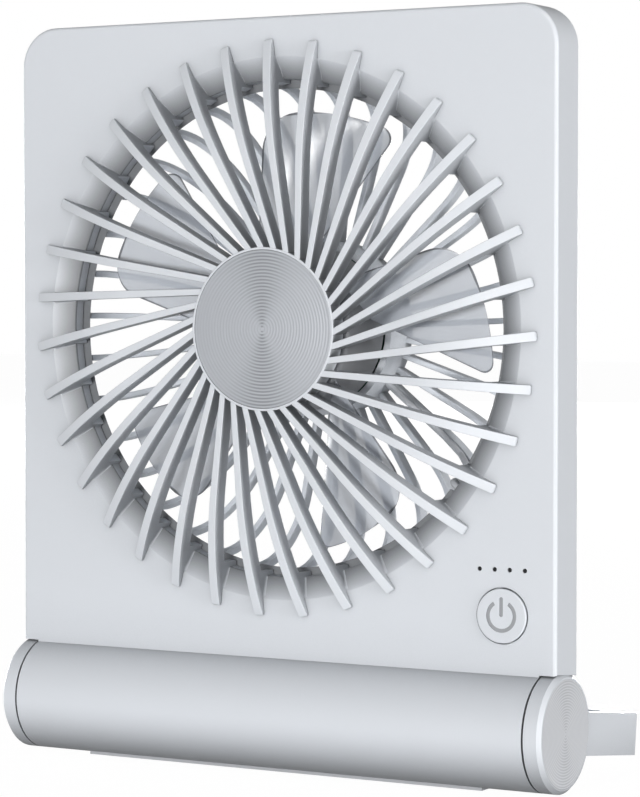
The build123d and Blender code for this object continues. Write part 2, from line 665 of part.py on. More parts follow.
def blade_section(radius, share):
    """Thin slanted section of the upright blade at one radius, share 0 at the hub to 1 at the tip."""
    chord = BLADE_ROOT_CHORD + (BLADE_TIP_CHORD - BLADE_ROOT_CHORD) * share
    front = BLADE_ROOT_SPAN[0] + (BLADE_TIP_SPAN[0] - BLADE_ROOT_SPAN[0]) * share
    back = BLADE_ROOT_SPAN[1] + (BLADE_TIP_SPAN[1] - BLADE_ROOT_SPAN[1]) * share
    drift = BLADE_SWEEP * share
    slant = hypot(chord, back - front)
    across = (-(back - front) / slant * BLADE_THICK / 2, chord / slant * BLADE_THICK / 2)
    trail = (drift - chord / 2, IMPELLER_FRONT + front)
    lead = (drift + chord / 2, IMPELLER_FRONT + back)
    corners = [(trail[0] - across[0], trail[1] - across[1]), (lead[0] - across[0], lead[1] - across[1]),
               (lead[0] + across[0], lead[1] + across[1]), (trail[0] + across[0], trail[1] + across[1])]
    return Pos(0, 0, radius) * make_face(Polyline(*corners, close=True))


def blade():
    """Upright blade about the origin, cut to its rounded plan shape."""
    root = IMPELLER_HUB_R - IMPELLER_HUB_WALL / 2
    beyond = BLADE_TIP_R + BLADE_THICK
    shares = [step / (BLADE_STATIONS - 1) for step in range(BLADE_STATIONS)]
    body = loft([blade_section(root + (beyond - root) * share, share) for share in shares])
    half_root = BLADE_ROOT_CHORD / 2
    half_tip = BLADE_TIP_CHORD / 2
    wedge = Polyline((-half_root, root), (half_root, root), (BLADE_SWEEP + half_tip, BLADE_TIP_R),
                     (BLADE_SWEEP - half_tip, BLADE_TIP_R), close=True)
    plan = make_face(wedge) & Pos(BLADE_TIP_SHIFT, 0) * Circle(BLADE_TIP_R - BLADE_TIP_DROP)
    plan = fillet(plan.vertices().sort_by(Axis.Y)[-1], BLADE_LEAD_R)
    plan = fillet(plan.vertices().sort_by(Axis.X)[-1], BLADE_TRAIL_R)
    return body & slab(plan, IMPELLER_FRONT, IMPELLER_BACK)


def impeller():
    """Hub cup with its blades."""
    inner = IMPELLER_HUB_R - IMPELLER_HUB_WALL
    floor = IMPELLER_FRONT + IMPELLER_HUB_WALL
    hub = turned_on_fan((0, IMPELLER_FRONT), (IMPELLER_HUB_R, IMPELLER_FRONT),
                        (IMPELLER_HUB_R, IMPELLER_BACK), (inner, IMPELLER_BACK), (inner, floor), (0, floor))
    rim = hub.edges().filter_by(GeomType.CIRCLE).sort_by(Axis.Y)[0]
    hub = fillet(rim, IMPELLER_EDGE_R)
    one = Pos(0, 0, FAN_Z) * blade()
    for step in range(BLADE_COUNT):
        hub += around_fan(one, BLADE_PHASE + step * 360 / BLADE_COUNT)
    return hub


def power_button():
    """Round push button with an engraved power sign and a retaining flange."""
    front = PANEL_FRONT - BUTTON_PROUD
    flange_front = INNER_FRONT + SLIP
    button = rod_y(BUTTON_R, front, flange_front + BUTTON_FLANGE_THICK / 2, BUTTON_X, BUTTON_Z)
    rim = button.edges().filter_by(GeomType.CIRCLE).sort_by(Axis.Y)[0]
    button = fillet(rim, SYMBOL_DEPTH)
    flange_r = BUTTON_R + BUTTON_GAP + BUTTON_FLANGE
    button += rod_y(flange_r, flange_front, BUTTON_BACK, BUTTON_X, BUTTON_Z)
    button += rod_y(BUTTON_POST_R, BUTTON_BACK, PLUNGER_FRONT - NEAR, BUTTON_X, BUTTON_Z)
    half = SYMBOL_STROKE / 2
    arc = Circle(SYMBOL_R + half) - Circle(SYMBOL_R - half)
    reach = SYMBOL_R + SYMBOL_STROKE
    spread = reach * sin(radians(SYMBOL_GAP_ANGLE)) / cos(radians(SYMBOL_GAP_ANGLE))
    arc -= make_face(Polyline((0, 0), (spread, reach), (-spread, reach), close=True))
    low, high = SYMBOL_BAR
    stroke = Pos(0, (low + high) / 2) * SlotOverall(high - low, SYMBOL_STROKE, rotation=90)
    symbol = Pos(BUTTON_X, 0, BUTTON_Z) * slab(arc + stroke, front, front + SYMBOL_DEPTH)
    return button - symbol


def switch_plunger():
    """Plunger of the switch, pushed by the button's post."""
    return rod_y(PLUNGER_R, PLUNGER_FRONT, PLUNGER_FRONT + PLUNGER_LENGTH, BUTTON_X, BUTTON_Z)


def tact_switch():
    """Switch body on the control board, with a bore for its plunger."""
    half = SWITCH_SIZE / 2
    body = block((BUTTON_X - half, BUTTON_X + half), (SWITCH_FRONT, BOARD_FRONT),
                 (BUTTON_Z - half, BUTTON_Z + half))
    depth = PLUNGER_FRONT + PLUNGER_LENGTH + BUTTON_TRAVEL + SLIP
    return body - rod_y(PLUNGER_R + RUN, SWITCH_FRONT, depth, BUTTON_X, BUTTON_Z)


def control_board():
    """Upright board behind the button and the lights."""
    half = BOARD_WIDTH / 2
    board = block((BUTTON_X - half, BUTTON_X + half), (BOARD_FRONT, BOARD_BACK),
                  (BOARD_Z - BOARD_HEIGHT / 2, BOARD_Z + BOARD_HEIGHT / 2))
    for x, z in board_post_places():
        board -= rod_y(GRILLE_SCREW_R + SLIP, BOARD_FRONT, BOARD_BACK, x, z)
    return board


def board_screws():
    """Two small screws that hold the control board on its posts."""
    screws = []
    for x, z in board_post_places():
        head = rod_y(GRILLE_SCREW_HEAD_R, BOARD_FRONT - GRILLE_SCREW_HEAD_THICK, BOARD_FRONT, x, z)
        screws.append(head + rod_y(GRILLE_SCREW_R, BOARD_FRONT, COVER_FRONT, x, z))
    return screws


def status_leds():
    """Status lights on the control board."""
    width, depth, height = LED_SIZE
    return [block((x - width / 2, x + width / 2), (BOARD_FRONT - depth, BOARD_FRONT),
                  (LED_Z - height / 2, LED_Z + height / 2)) for x in led_places()]


def light_guide():
    """Smoked bar with one pin in each light hole."""
    width, height = GUIDE_SIZE
    back = BOARD_FRONT - LED_SIZE[1] - SEAT
    guide = block((BUTTON_X - width / 2, BUTTON_X + width / 2), (INNER_FRONT + SEAT, back),
                  (LED_Z - height / 2, LED_Z + height / 2))
    for x in led_places():
        guide += rod_y(LED_HOLE_R - SEAT, PANEL_FRONT + GUIDE_SINK, INNER_FRONT + 2 * SEAT, x, LED_Z)
    return guide


def battery_cell():
    """Round cell, 18 by 65, with its raised positive end."""
    can = rod_x(CELL_R, CELL_LEFT, CELL_RIGHT - CONTACT_THICK)
    return can + rod_x(CONTACT_R / 2, CELL_RIGHT - CELL_NUB_LENGTH, CELL_RIGHT)


def battery_contacts():
    """Round contact plate on each end of the cell."""
    return [rod_x(CONTACT_R, CELL_LEFT - CONTACT_THICK, CELL_LEFT),
            rod_x(CONTACT_R, CELL_RIGHT, CELL_RIGHT + CONTACT_THICK)]


def battery_cradles():
    """Two rings that centre the cell in the tube."""
    rings = []
    for start in (CELL_LEFT + CRADLE_INSET, CELL_RIGHT - CRADLE_INSET - CRADLE_WIDTH):
        end = start + CRADLE_WIDTH
        rings.append(turned_on_tube((start, CELL_R + NEAR), (end, CELL_R + NEAR),
                                    (end, TUBE_INNER_R - SEAT), (start, TUBE_INNER_R - SEAT)))
    return rings


def usb_place():
    """Place on the tube axis whose Y points out through the charging slot."""
    return Pos(USB_X, 0, AXIS_Z) * Rot(USB_ANGLE, 0, 0)


def usb_mouth():
    """Distance from the tube axis to the mouth of the charging socket."""
    return sqrt(TUBE_R ** 2 - (USB_SIZE[2] / 2) ** 2) - SLIP


def usb_socket():
    """Charging socket: thin rounded shell, closed at the back, with a tongue inside."""
    width, length, height = USB_SIZE
    mouth = usb_mouth()
    inner = SlotOverall(width - 2 * USB_SHELL, height - 2 * USB_SHELL)
    shell = Pos(0, mouth, 0) * extrude(Plane.XZ * SlotOverall(width, height), length)
    shell -= Pos(0, mouth, 0) * extrude(Plane.XZ * inner, length - USB_BACK)
    tongue_width, tongue_length, tongue_height = USB_TONGUE
    back = mouth - length + USB_BACK
    tongue = block((-tongue_width / 2, tongue_width / 2), (back - USB_SHELL, back + tongue_length),
                   (-tongue_height / 2, tongue_height / 2))
    return usb_place() * (shell + tongue)


def charge_board_x():
    """Left and right edges of the charging board."""
    return USB_X - CHARGE_BOARD_WIDTH / 2, USB_X + CHARGE_BOARD_WIDTH / 2


def charge_board():
    """Charging board that the socket stands on."""
    top = -USB_SIZE[2] / 2
    half = CHARGE_BOARD_WIDTH / 2
    low = top - BOARD_THICK
    outer = sqrt((TUBE_INNER_R - 4 * SLIP) ** 2 - low ** 2)
    return usb_place() * block((-half, half), (outer - CHARGE_BOARD_DEPTH, outer), (low, top))


def lead_x():
    """X of the power lead where it leaves the tube."""
    return BUTTON_X - BOARD_WIDTH / 2 + LEAD_HOLE_R


def lead_y():
    """Y of the leads in the panel, on the face of the control board."""
    return BOARD_FRONT - LEAD_R - NEAR


def lead_angle():
    """Clock angle, from the top, of the rib that the motor lead follows."""
    reach = hypot(BUTTON_X - BOARD_EDGE, FAN_Z - lead_top())
    straight = 180 - degrees(asin((BUTTON_X - BOARD_EDGE) / reach))
    pitch = 360 / RIB_COUNT
    return RIB_PHASE + round((straight - RIB_PHASE) / pitch) * pitch


def lead_top():
    """Z on the control board where the motor lead starts."""
    return BOARD_Z + BOARD_HEIGHT / 2 - 2 * BOARD_EDGE


def tube_along(path):
    """Round lead swept along a path."""
    return sweep(Plane(path @ 0, z_dir=path % 0) * Circle(LEAD_R), path)


def battery_leads():
    """Two straight wires from the cell's contact to the charging board."""
    left = CELL_RIGHT + CONTACT_THICK
    right = charge_board_x()[0]
    middle = -USB_SIZE[2] / 2 - BOARD_THICK / 2
    leads = []
    for out in (-2 * LEAD_R, 2 * LEAD_R):
        spot = (usb_place() * Pos(0, out, middle)).position
        leads.append(rod_x(LEAD_R, left, right, spot.Y, spot.Z))
    return leads


def power_lead():
    """Wire from the charging board up to the control board."""
    low = AXIS_Z + LEAD_R
    high = BOARD_Z - BOARD_HEIGHT / 4
    bend = BOARD_Z - BOARD_HEIGHT / 2
    path = FilletPolyline((lead_x(), lead_y(), low), (lead_x(), lead_y(), bend),
                          (lead_x() + LEAD_HOLE_R, lead_y(), high), radius=3 * LEAD_R)
    return tube_along(path)


def rib_arc():
    """Radius of the bend in the ribs' front edge, and the y of its centre."""
    rise = MOTOR_BASE_BACK - RIB_DEPTH - RIB_BEND_FRONT
    run = RIB_EDGE_R - RIB_DEPTH / 2 - RIB_PLATEAU_R
    bend = (run ** 2 + rise ** 2) / (2 * rise)
    return bend, MOTOR_BASE_BACK - RIB_DEPTH - bend


def motor_lead_y():
    """Y of the motor lead where it enters the motor cup, on the face of the motor board."""
    return MOTOR_BOARD_BACK - BOARD_THICK - LEAD_R - NEAR


def motor_lead():
    """Wire from the control board through the collar and along one rib to the motor."""
    turn = radians(lead_angle())
    behind = INTAKE_R - LEAD_R - SLIP
    bend, middle = rib_arc()
    reach = bend - LEAD_R - LEAD_RIB_GAP
    widest = asin((behind - RIB_PLATEAU_R) / reach)
    stops = [((lead_top() - FAN_Z) / cos(turn), lead_y()), (behind, lead_y())]
    for step in range(LEAD_STOPS):
        angle = widest * (1 - step / LEAD_STOPS)
        stops.append((RIB_PLATEAU_R + reach * sin(angle), middle + reach * cos(angle)))
    stops.append((RIB_PLATEAU_R, motor_lead_y()))
    stops.append((MOTOR_BOARD_R - 2 * LEAD_R, motor_lead_y()))
    points = [(radius * sin(turn), y, FAN_Z + radius * cos(turn)) for radius, y in stops]
    return tube_along(FilletPolyline(*points, radius=2 * LEAD_R))


def end_plug(side):
    """Plug in one end of the tube, threaded for the hinge pin."""
    plug = rod_x(TUBE_INNER_R - SEAT, PLUG_INNER, TUBE_END)
    plug -= rod_x(PIN_THREAD_R + NEAR, TUBE_END - PIN_THREAD_LENGTH - SLIP, TUBE_END)
    return plug if side > 0 else mirrored(plug)


def hinge_pins():
    """Shoulder screws that the stand's hubs turn on."""
    shoulder = STAND_HUB_X + PIN_FLOOR + SLIP
    pin = rod_x(PIN_R, TUBE_END, shoulder)
    pin += rod_x(PIN_THREAD_R, TUBE_END - PIN_THREAD_LENGTH, TUBE_END)
    pin += rod_x(PIN_HEAD_R, shoulder, shoulder + PIN_HEAD_THICK)
    return [mirrored(pin), pin]


def friction_washers():
    """Washers in the gap between the tube and the stand's hubs."""
    left, right = TUBE_END, STAND_HUB_X - SEAT
    washer = turned_on_tube((left, PIN_R + SLIP), (right, PIN_R + SLIP), (right, WASHER_R), (left, WASHER_R))
    return [mirrored(washer), washer]


def stand_place():
    """Place on the tube axis whose Y runs along the stand's arms."""
    return Pos(0, 0, AXIS_Z) * Rot(-ARM_SLOPE, 0, 0)


def stand_bar():
    """Crossbar of the stand."""
    half = CAP_X - ARM_INSET
    return stand_place() * block((-half, half), (ARM_REACH - BAR_THICK, ARM_REACH),
                                 (-ARM_HEIGHT / 2, ARM_HEIGHT / 2))


def stand_bracket():
    """U-shaped stand: two turned hubs, two arms and the crossbar in one piece."""
    floor = STAND_HUB_X + PIN_FLOOR
    seat = CAP_X - CAP_DISC_THICK
    hub = turned_on_tube((STAND_HUB_X, PIN_R + RUN), (floor, PIN_R + RUN), (floor, PIN_HEAD_R + SLIP),
                         (seat, PIN_HEAD_R + SLIP), (seat, CAP_DISC_R + SEAT), (CAP_X, CAP_DISC_R + SEAT),
                         (CAP_X, TUBE_R - CAP_BEVEL), (CAP_X - CAP_BEVEL, TUBE_R), (STAND_HUB_X, TUBE_R))
    outer = CAP_X - ARM_INSET
    half = ARM_HEIGHT / 2
    start = sqrt(CAP_DISC_R ** 2 - half ** 2) + SLIP
    arm = stand_place() * block((outer - ARM_THICK, outer), (start, ARM_REACH), (-half, half))
    arm -= rod_x(CAP_DISC_R + SEAT, 0, CAP_X)
    frame = stand_bar() + arm + mirrored(arm)
    corners = frame.edges().filter_by(lambda edge: abs(edge.tangent_at(0).X) < NEAR)
    corners = corners.filter_by(lambda edge: edge.length > half and abs(edge.center().X) > outer - SLIP)
    frame = fillet(corners.sort_by(Axis.Y)[-2:], ARM_EDGE_R)
    return frame + hub + mirrored(hub)


def cap_disc(side):
    """Turned metal disc that covers the hinge pin."""
    disc = rod_x(CAP_DISC_R, CAP_X - CAP_DISC_THICK + SEAT, CAP_X)
    return disc if side > 0 else mirrored(disc)


def stand_feet():
    """Rubber feet under the crossbar that reach the table."""
    y = ARM_REACH * cos(radians(ARM_SLOPE)) - BAR_THICK / 2 - ARM_HEIGHT / 2 * sin(radians(ARM_SLOPE))
    bar = stand_bar()
    feet = []
    for x in (-FOOT_X, FOOT_X):
        foot = block((x - FOOT_LENGTH / 2, x + FOOT_LENGTH / 2), (y - FOOT_WIDTH / 2, y + FOOT_WIDTH / 2),
                     (0, AXIS_Z - ARM_HEIGHT / 2))
        feet.append((foot - bar).solids().sort_by(Axis.Z)[0])
    return feet


def case_screws():
    """Screws through the rear cover into the front shell."""
    screws = []
    for x, z in case_screw_places():
        back = PANEL_BACK - SEAT
        head = rod_y(SCREW_HEAD_R, back - SCREW_HEAD_THICK, back, x, z)
        tip = COVER_FRONT - SCREW_BITE + SLIP
        screws.append(head + rod_y(SCREW_R, tip, back - SCREW_HEAD_THICK, x, z))
    return screws


def grille_screws():
    """Screws through the rear grille's ring into the rear cover."""
    screws = []
    for x, z in grille_screw_places():
        back = RING_BACK - SEAT
        head = rod_y(GRILLE_SCREW_HEAD_R, back - GRILLE_SCREW_HEAD_THICK, back, x, z)
        tip = RING_FRONT - SEAT - GRILLE_SCREW_BITE + SLIP
        screws.append(head + rod_y(GRILLE_SCREW_R, tip, back - GRILLE_SCREW_HEAD_THICK, x, z))
    return screws


def neck_screws():
    """Screws from inside the tube up into the panel's blocks."""
    screws = []
    top = AXIS_Z + sqrt(TUBE_INNER_R ** 2 - SCREW_HEAD_R ** 2) - SEAT
    for x in neck_places():
        head = rod_z(SCREW_HEAD_R, top - SCREW_HEAD_THICK, top, x, 0)
        screws.append(head + rod_z(SCREW_R, top, TUBE_TOP + SCREW_BITE - SLIP, x, 0))
    return screws


NODES = {
    "front_shell": front_shell,
    "bell_ring": bell_ring,
    "hub_ring": hub_ring,
    "front_fins": front_fins,
    "hub_cap": hub_cap,
    "rear_cover": rear_cover,
    "rear_ring": rear_ring,
    "motor_cup": motor_cup,
    "rear_ribs": rear_ribs,
    "motor_cap": motor_cap,
    "tube_barrel": tube_barrel,
    "base_pad": base_pad,
    "left_end_plug": lambda: end_plug(-1),
    "right_end_plug": lambda: end_plug(1),
    "hinge_pins": hinge_pins,
    "friction_washers": friction_washers,
    "stand_bracket": stand_bracket,
    "left_cap_disc": lambda: cap_disc(-1),
    "right_cap_disc": lambda: cap_disc(1),
    "stand_feet": stand_feet,
    "impeller": impeller,
    "rotor_cup": rotor_cup,
    "magnet_ring": magnet_ring,
    "motor_shaft": motor_shaft,
    "shaft_clip": shaft_clip,
    "motor_bearings": motor_bearings,
    "stator_core": stator_core,
    "stator_coils": stator_coils,
    "motor_board": motor_board,
    "power_button": power_button,
    "switch_plunger": switch_plunger,
    "tact_switch": tact_switch,
    "control_board": control_board,
    "board_screws": board_screws,
    "status_leds": status_leds,
    "light_guide": light_guide,
    "battery_cell": battery_cell,
    "battery_contacts": battery_contacts,
    "battery_cradles": battery_cradles,
    "usb_socket": usb_socket,
    "charge_board": charge_board,
    "battery_leads": battery_leads,
    "power_lead": power_lead,
    "motor_lead": motor_lead,
    "case_screws": case_screws,
    "grille_screws": grille_screws,
    "neck_screws": neck_screws,
}

os.makedirs("parts", exist_ok=True)
for name, make in NODES.items():
    shape = make()
    if isinstance(shape, list):
        shape = Compound([solid for piece in shape for solid in piece.solids()])
    export_step(shape, f"parts/{name}.step")
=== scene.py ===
"""Studio scene of a slim desk fan: finned panel, battery tube and folding stand."""
import json
import logging
import math
from collections.abc import Callable, Sequence
from dataclasses import dataclass
from enum import Enum

import bmesh
import bpy
import numpy as np
from mathutils.geometry import delaunay_2d_cdt
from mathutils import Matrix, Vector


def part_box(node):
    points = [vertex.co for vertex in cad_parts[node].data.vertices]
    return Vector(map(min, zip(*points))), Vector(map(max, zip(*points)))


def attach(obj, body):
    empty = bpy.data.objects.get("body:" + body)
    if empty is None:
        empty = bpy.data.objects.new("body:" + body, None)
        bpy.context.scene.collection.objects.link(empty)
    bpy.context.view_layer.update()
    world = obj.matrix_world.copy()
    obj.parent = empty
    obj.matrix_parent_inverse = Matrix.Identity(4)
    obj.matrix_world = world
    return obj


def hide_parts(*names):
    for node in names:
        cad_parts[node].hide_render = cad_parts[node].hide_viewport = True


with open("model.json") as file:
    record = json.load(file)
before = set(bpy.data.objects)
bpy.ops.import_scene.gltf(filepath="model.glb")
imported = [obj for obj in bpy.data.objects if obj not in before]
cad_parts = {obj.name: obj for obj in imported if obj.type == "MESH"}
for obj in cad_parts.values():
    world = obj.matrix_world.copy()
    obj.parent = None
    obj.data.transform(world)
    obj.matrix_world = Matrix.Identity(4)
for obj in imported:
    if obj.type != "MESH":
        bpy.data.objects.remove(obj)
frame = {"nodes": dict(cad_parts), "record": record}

LOG = logging.getLogger("desk_fan")
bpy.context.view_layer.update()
MM = 0.001
WELD = 1e-6
THROAT_R = 60.0 * MM
BELL_R = 65.2 * MM
SHELL_WALL = 1.8 * MM
SEAT = 0.05 * MM
RING_SIDES = 216
FILLED = 1
Corner = tuple[float, float, float]
Rgb = tuple[float, float, float]
Socket = bpy.types.NodeSocket
FLOAT, VECTOR, COLOUR = "NodeSocketFloat", "NodeSocketVector", "NodeSocketColor"


class Spin(Enum):
    """Axis that a turned piece is turned about."""

    ALONG_X = "x"
    ALONG_Y = "y"


@dataclass(frozen=True)
class Layout:
    """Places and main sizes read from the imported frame, in metres."""

    half: float
    front: float
    back: float
    top: float
    tube_r: float
    tube_z: float
    tube_end: float
    fan_z: float
    button: tuple[float, float]

    @classmethod
    def from_frame(cls) -> "Layout":
        """Measure the main places on the frame's nodes.

        Returns:
            The layout that every piece takes its place from.
        """
        shell_low, shell_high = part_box("front_shell")
        tube_low, tube_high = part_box("tube_barrel")
        disc_low, disc_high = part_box("hub_cap")
        key_low, key_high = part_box("power_button")
        return cls(
            half=shell_high.x, front=shell_low.y, back=shell_high.y, top=shell_high.z,
            tube_r=(tube_high.z - tube_low.z) / 2, tube_z=(tube_high.z + tube_low.z) / 2,
            tube_end=tube_high.x, fan_z=(disc_high.z + disc_low.z) / 2,
            button=((key_low.x + key_high.x) / 2, (key_low.z + key_high.z) / 2))


def grid_faces(rows: int, columns: int, ring: bool, loop: bool) -> np.ndarray:
    """Quads of a grid of points.

    Args:
        rows: Number of rows of points.
        columns: Number of points in a row.
        ring: Whether the last row joins the first.
        loop: Whether each row's last point joins its first.

    Returns:
        Four point numbers for each quad.
    """
    i, j = np.meshgrid(np.arange(rows if ring else rows - 1),
                       np.arange(columns if loop else columns - 1), indexing="ij")
    i_next, j_next = (i + 1) % rows, (j + 1) % columns
    corners = [i * columns + j, i * columns + j_next, i_next * columns + j_next, i_next * columns + j]
    return np.stack(corners, axis=-1).reshape(-1, 4)


def rounded(corners: Sequence[Corner], steps: int = 6) -> np.ndarray:
    """Closed outline through corners, each eased by an arc.

    A corner P between edge directions has its arc's centre on the bisector, where the arc is
    tangent to both edges.

    Args:
        corners: Points (a, b, radius), counter-clockwise.
        steps: Points on each arc, less one.

    Returns:
        Outline points (a, b), one arc after another.
    """
    table = np.array(corners, float)
    spots, radii = table[:, :2], table[:, 2:]
    ahead = np.roll(spots, -1, axis=0) - spots
    ahead /= np.linalg.norm(ahead, axis=1, keepdims=True)
    behind = np.roll(ahead, 1, axis=0)
    left = np.stack([-behind[:, 1], behind[:, 0]], axis=1)
    turn = np.arctan2(np.sum(ahead * left, axis=1), np.sum(ahead * behind, axis=1))[:, None]
    swing = turn * np.linspace(0, 1, steps + 1)
    along = radii * (np.sin(np.abs(swing)) - np.tan(np.abs(turn) / 2))
    rise = np.sign(turn) * radii * (1 - np.cos(swing))
    outline = spots[:, None] + along[..., None] * behind[:, None] + rise[..., None] * left[:, None]
    return outline.reshape(-1, 2)


def clock(turn: np.ndarray) -> np.ndarray:
    """Unit vectors (x, z) at clock angles, in radians from the upright."""
    return np.stack([np.sin(turn), np.cos(turn)], axis=-1)


def quarter(radius: float, steps: int) -> list[tuple[float, float]]:
    """Insets r (1 - sin v) and depths r (1 - cos v) of a rounded edge, from its face to its side."""
    turn = np.linspace(0, np.pi / 2, steps)
    return list(zip(radius * (1 - np.sin(turn)), radius * (1 - np.cos(turn))))


def circle(radius: float, count: int, centre: Sequence[float]) -> np.ndarray:
    """Points (a, b) of a circle, counter-clockwise: the centre plus r (cos v, sin v)."""
    turn = np.linspace(0, 2 * np.pi, count, endpoint=False)
    return np.stack([centre[0] + radius * np.cos(turn), centre[1] + radius * np.sin(turn)], axis=1)


def fill(loops: Sequence[np.ndarray]) -> tuple[np.ndarray, list]:
    """Flat triangles between an outer loop and the loops of its round holes.

    A triangle whose corners all lie on one hole's loop is inside that hole, and is left out.

    Args:
        loops: The outer loop, then the holes, as points (a, b).

    Returns:
        The points (a, b) and the triangles.
    """
    points = [tuple(row) for loop in loops for row in loop]
    owners = np.repeat(np.arange(len(loops)), [len(loop) for loop in loops])
    edges = []
    for loop in loops:
        start, count = len(edges), len(loop)
        edges += [(start + k, start + (k + 1) % count) for k in range(count)]
    flat, _, faces, sources, _, _ = delaunay_2d_cdt(points, edges, [], FILLED, WELD / 10)
    owner = np.array([owners[source[0]] for source in sources])
    corners = owner[np.array(faces)]
    inside = (corners[:, 0] > 0) & (corners[:, 0] == corners[:, 1]) & (corners[:, 0] == corners[:, 2])
    kept = [tuple(face) for face, hole in zip(faces, inside) if not hole]
    return np.array([tuple(p) for p in flat]), kept


class Sculpt:
    """Collects surfaces worked out as arrays and turns them into one piece of the scene."""

    def __init__(self, name: str) -> None:
        """Start an empty piece.

        Args:
            name: Name of the piece.
        """
        self.name = name
        self.points: list[np.ndarray] = []
        self.faces: list[tuple[int, ...]] = []
        self.finish: list[int] = []
        self.count = 0

    def add(self, points: np.ndarray, faces: Sequence[Sequence[int]], finish: int = 0) -> None:
        """Add one surface.

        Args:
            points: Points, in metres.
            faces: Point numbers of each face.
            finish: Number of the piece's finish on these faces.
        """
        points = np.asarray(points, float).reshape(-1, 3)
        self.points.append(points)
        self.faces += [tuple(int(k) + self.count for k in face) for face in faces]
        self.finish += [finish] * len(faces)
        self.count += len(points)

    def turned(self, profile: np.ndarray, centre: Sequence[float], sides: int = 144, finish: int = 0) -> None:
        """Add a closed profile carried round an axis along Y.

        P(u, v) = centre + (radius(u) cos v, along(u), radius(u) sin v).

        Args:
            profile: Points (radius, along).
            centre: Point that along is measured from.
            sides: Steps round the axis.
            finish: Number of the finish.
        """
        turn = np.linspace(0, 2 * np.pi, sides, endpoint=False)
        radius, along = profile[:, :1], profile[:, 1:]
        first, second = radius * np.cos(turn), radius * np.sin(turn)
        points = np.stack([first, np.broadcast_to(along, first.shape), second], axis=-1) + np.asarray(centre)
        self.add(points, grid_faces(len(profile), sides, True, True), finish)

    def carried(self, rings: np.ndarray) -> None:
        """Add closed sections in order along a path, with flat ends.

        Args:
            rings: Points, as stations by section points by three.
        """
        stations, count = rings.shape[:2]
        last = (stations - 1) * count
        faces = grid_faces(stations, count, False, True).tolist()
        faces += [range(count)[::-1], range(last, last + count)]
        self.add(rings, faces)

    def strip(self, rows: Sequence[np.ndarray], finish: int = 0) -> None:
        """Add a wall through closed loops of the same number of points, one after another."""
        grid = np.stack(rows)
        self.add(grid, grid_faces(len(rows), grid.shape[1], False, True), finish)

    def build(self, materials: Sequence[bpy.types.Material], body: str, slot: str, crease: float = 38.0,
              weighted: bool = False) -> bpy.types.Object:
        """Make the piece's object, closed, facing outwards and riding on its body.

        Args:
            materials: The piece's finishes, in order.
            body: Body that it rides on.
            slot: Record's material slot; not used.
            crease: Angle past which an edge stays sharp, in degrees.
            weighted: Whether large faces keep their own shading beside small ones.

        Returns:
            The object.
        """
        mesh = bpy.data.meshes.new(self.name)
        mesh.from_pydata(np.concatenate(self.points).tolist(), [], self.faces)
        mesh.polygons.foreach_set("material_index", self.finish)
        shape = bmesh.new()
        shape.from_mesh(mesh)
        bmesh.ops.remove_doubles(shape, verts=shape.verts, dist=WELD)
        bmesh.ops.dissolve_degenerate(shape, edges=shape.edges, dist=WELD)
        bmesh.ops.recalc_face_normals(shape, faces=shape.faces)
        shape.to_mesh(mesh)
        shape.free()
        mesh.polygons.foreach_set("use_smooth", np.ones(len(mesh.polygons), bool))
        mesh.set_sharp_from_angle(angle=math.radians(crease))
        for material in materials:
            mesh.materials.append(material)
        piece = bpy.data.objects.new(self.name, mesh)
        bpy.context.scene.collection.objects.link(piece)
        if weighted:
            even = piece.modifiers.new("even_shading", "WEIGHTED_NORMAL")
            even.keep_sharp = True
        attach(piece, body)
        LOG.info("%s: %d faces on %s", self.name, len(mesh.polygons), body)
        return piece


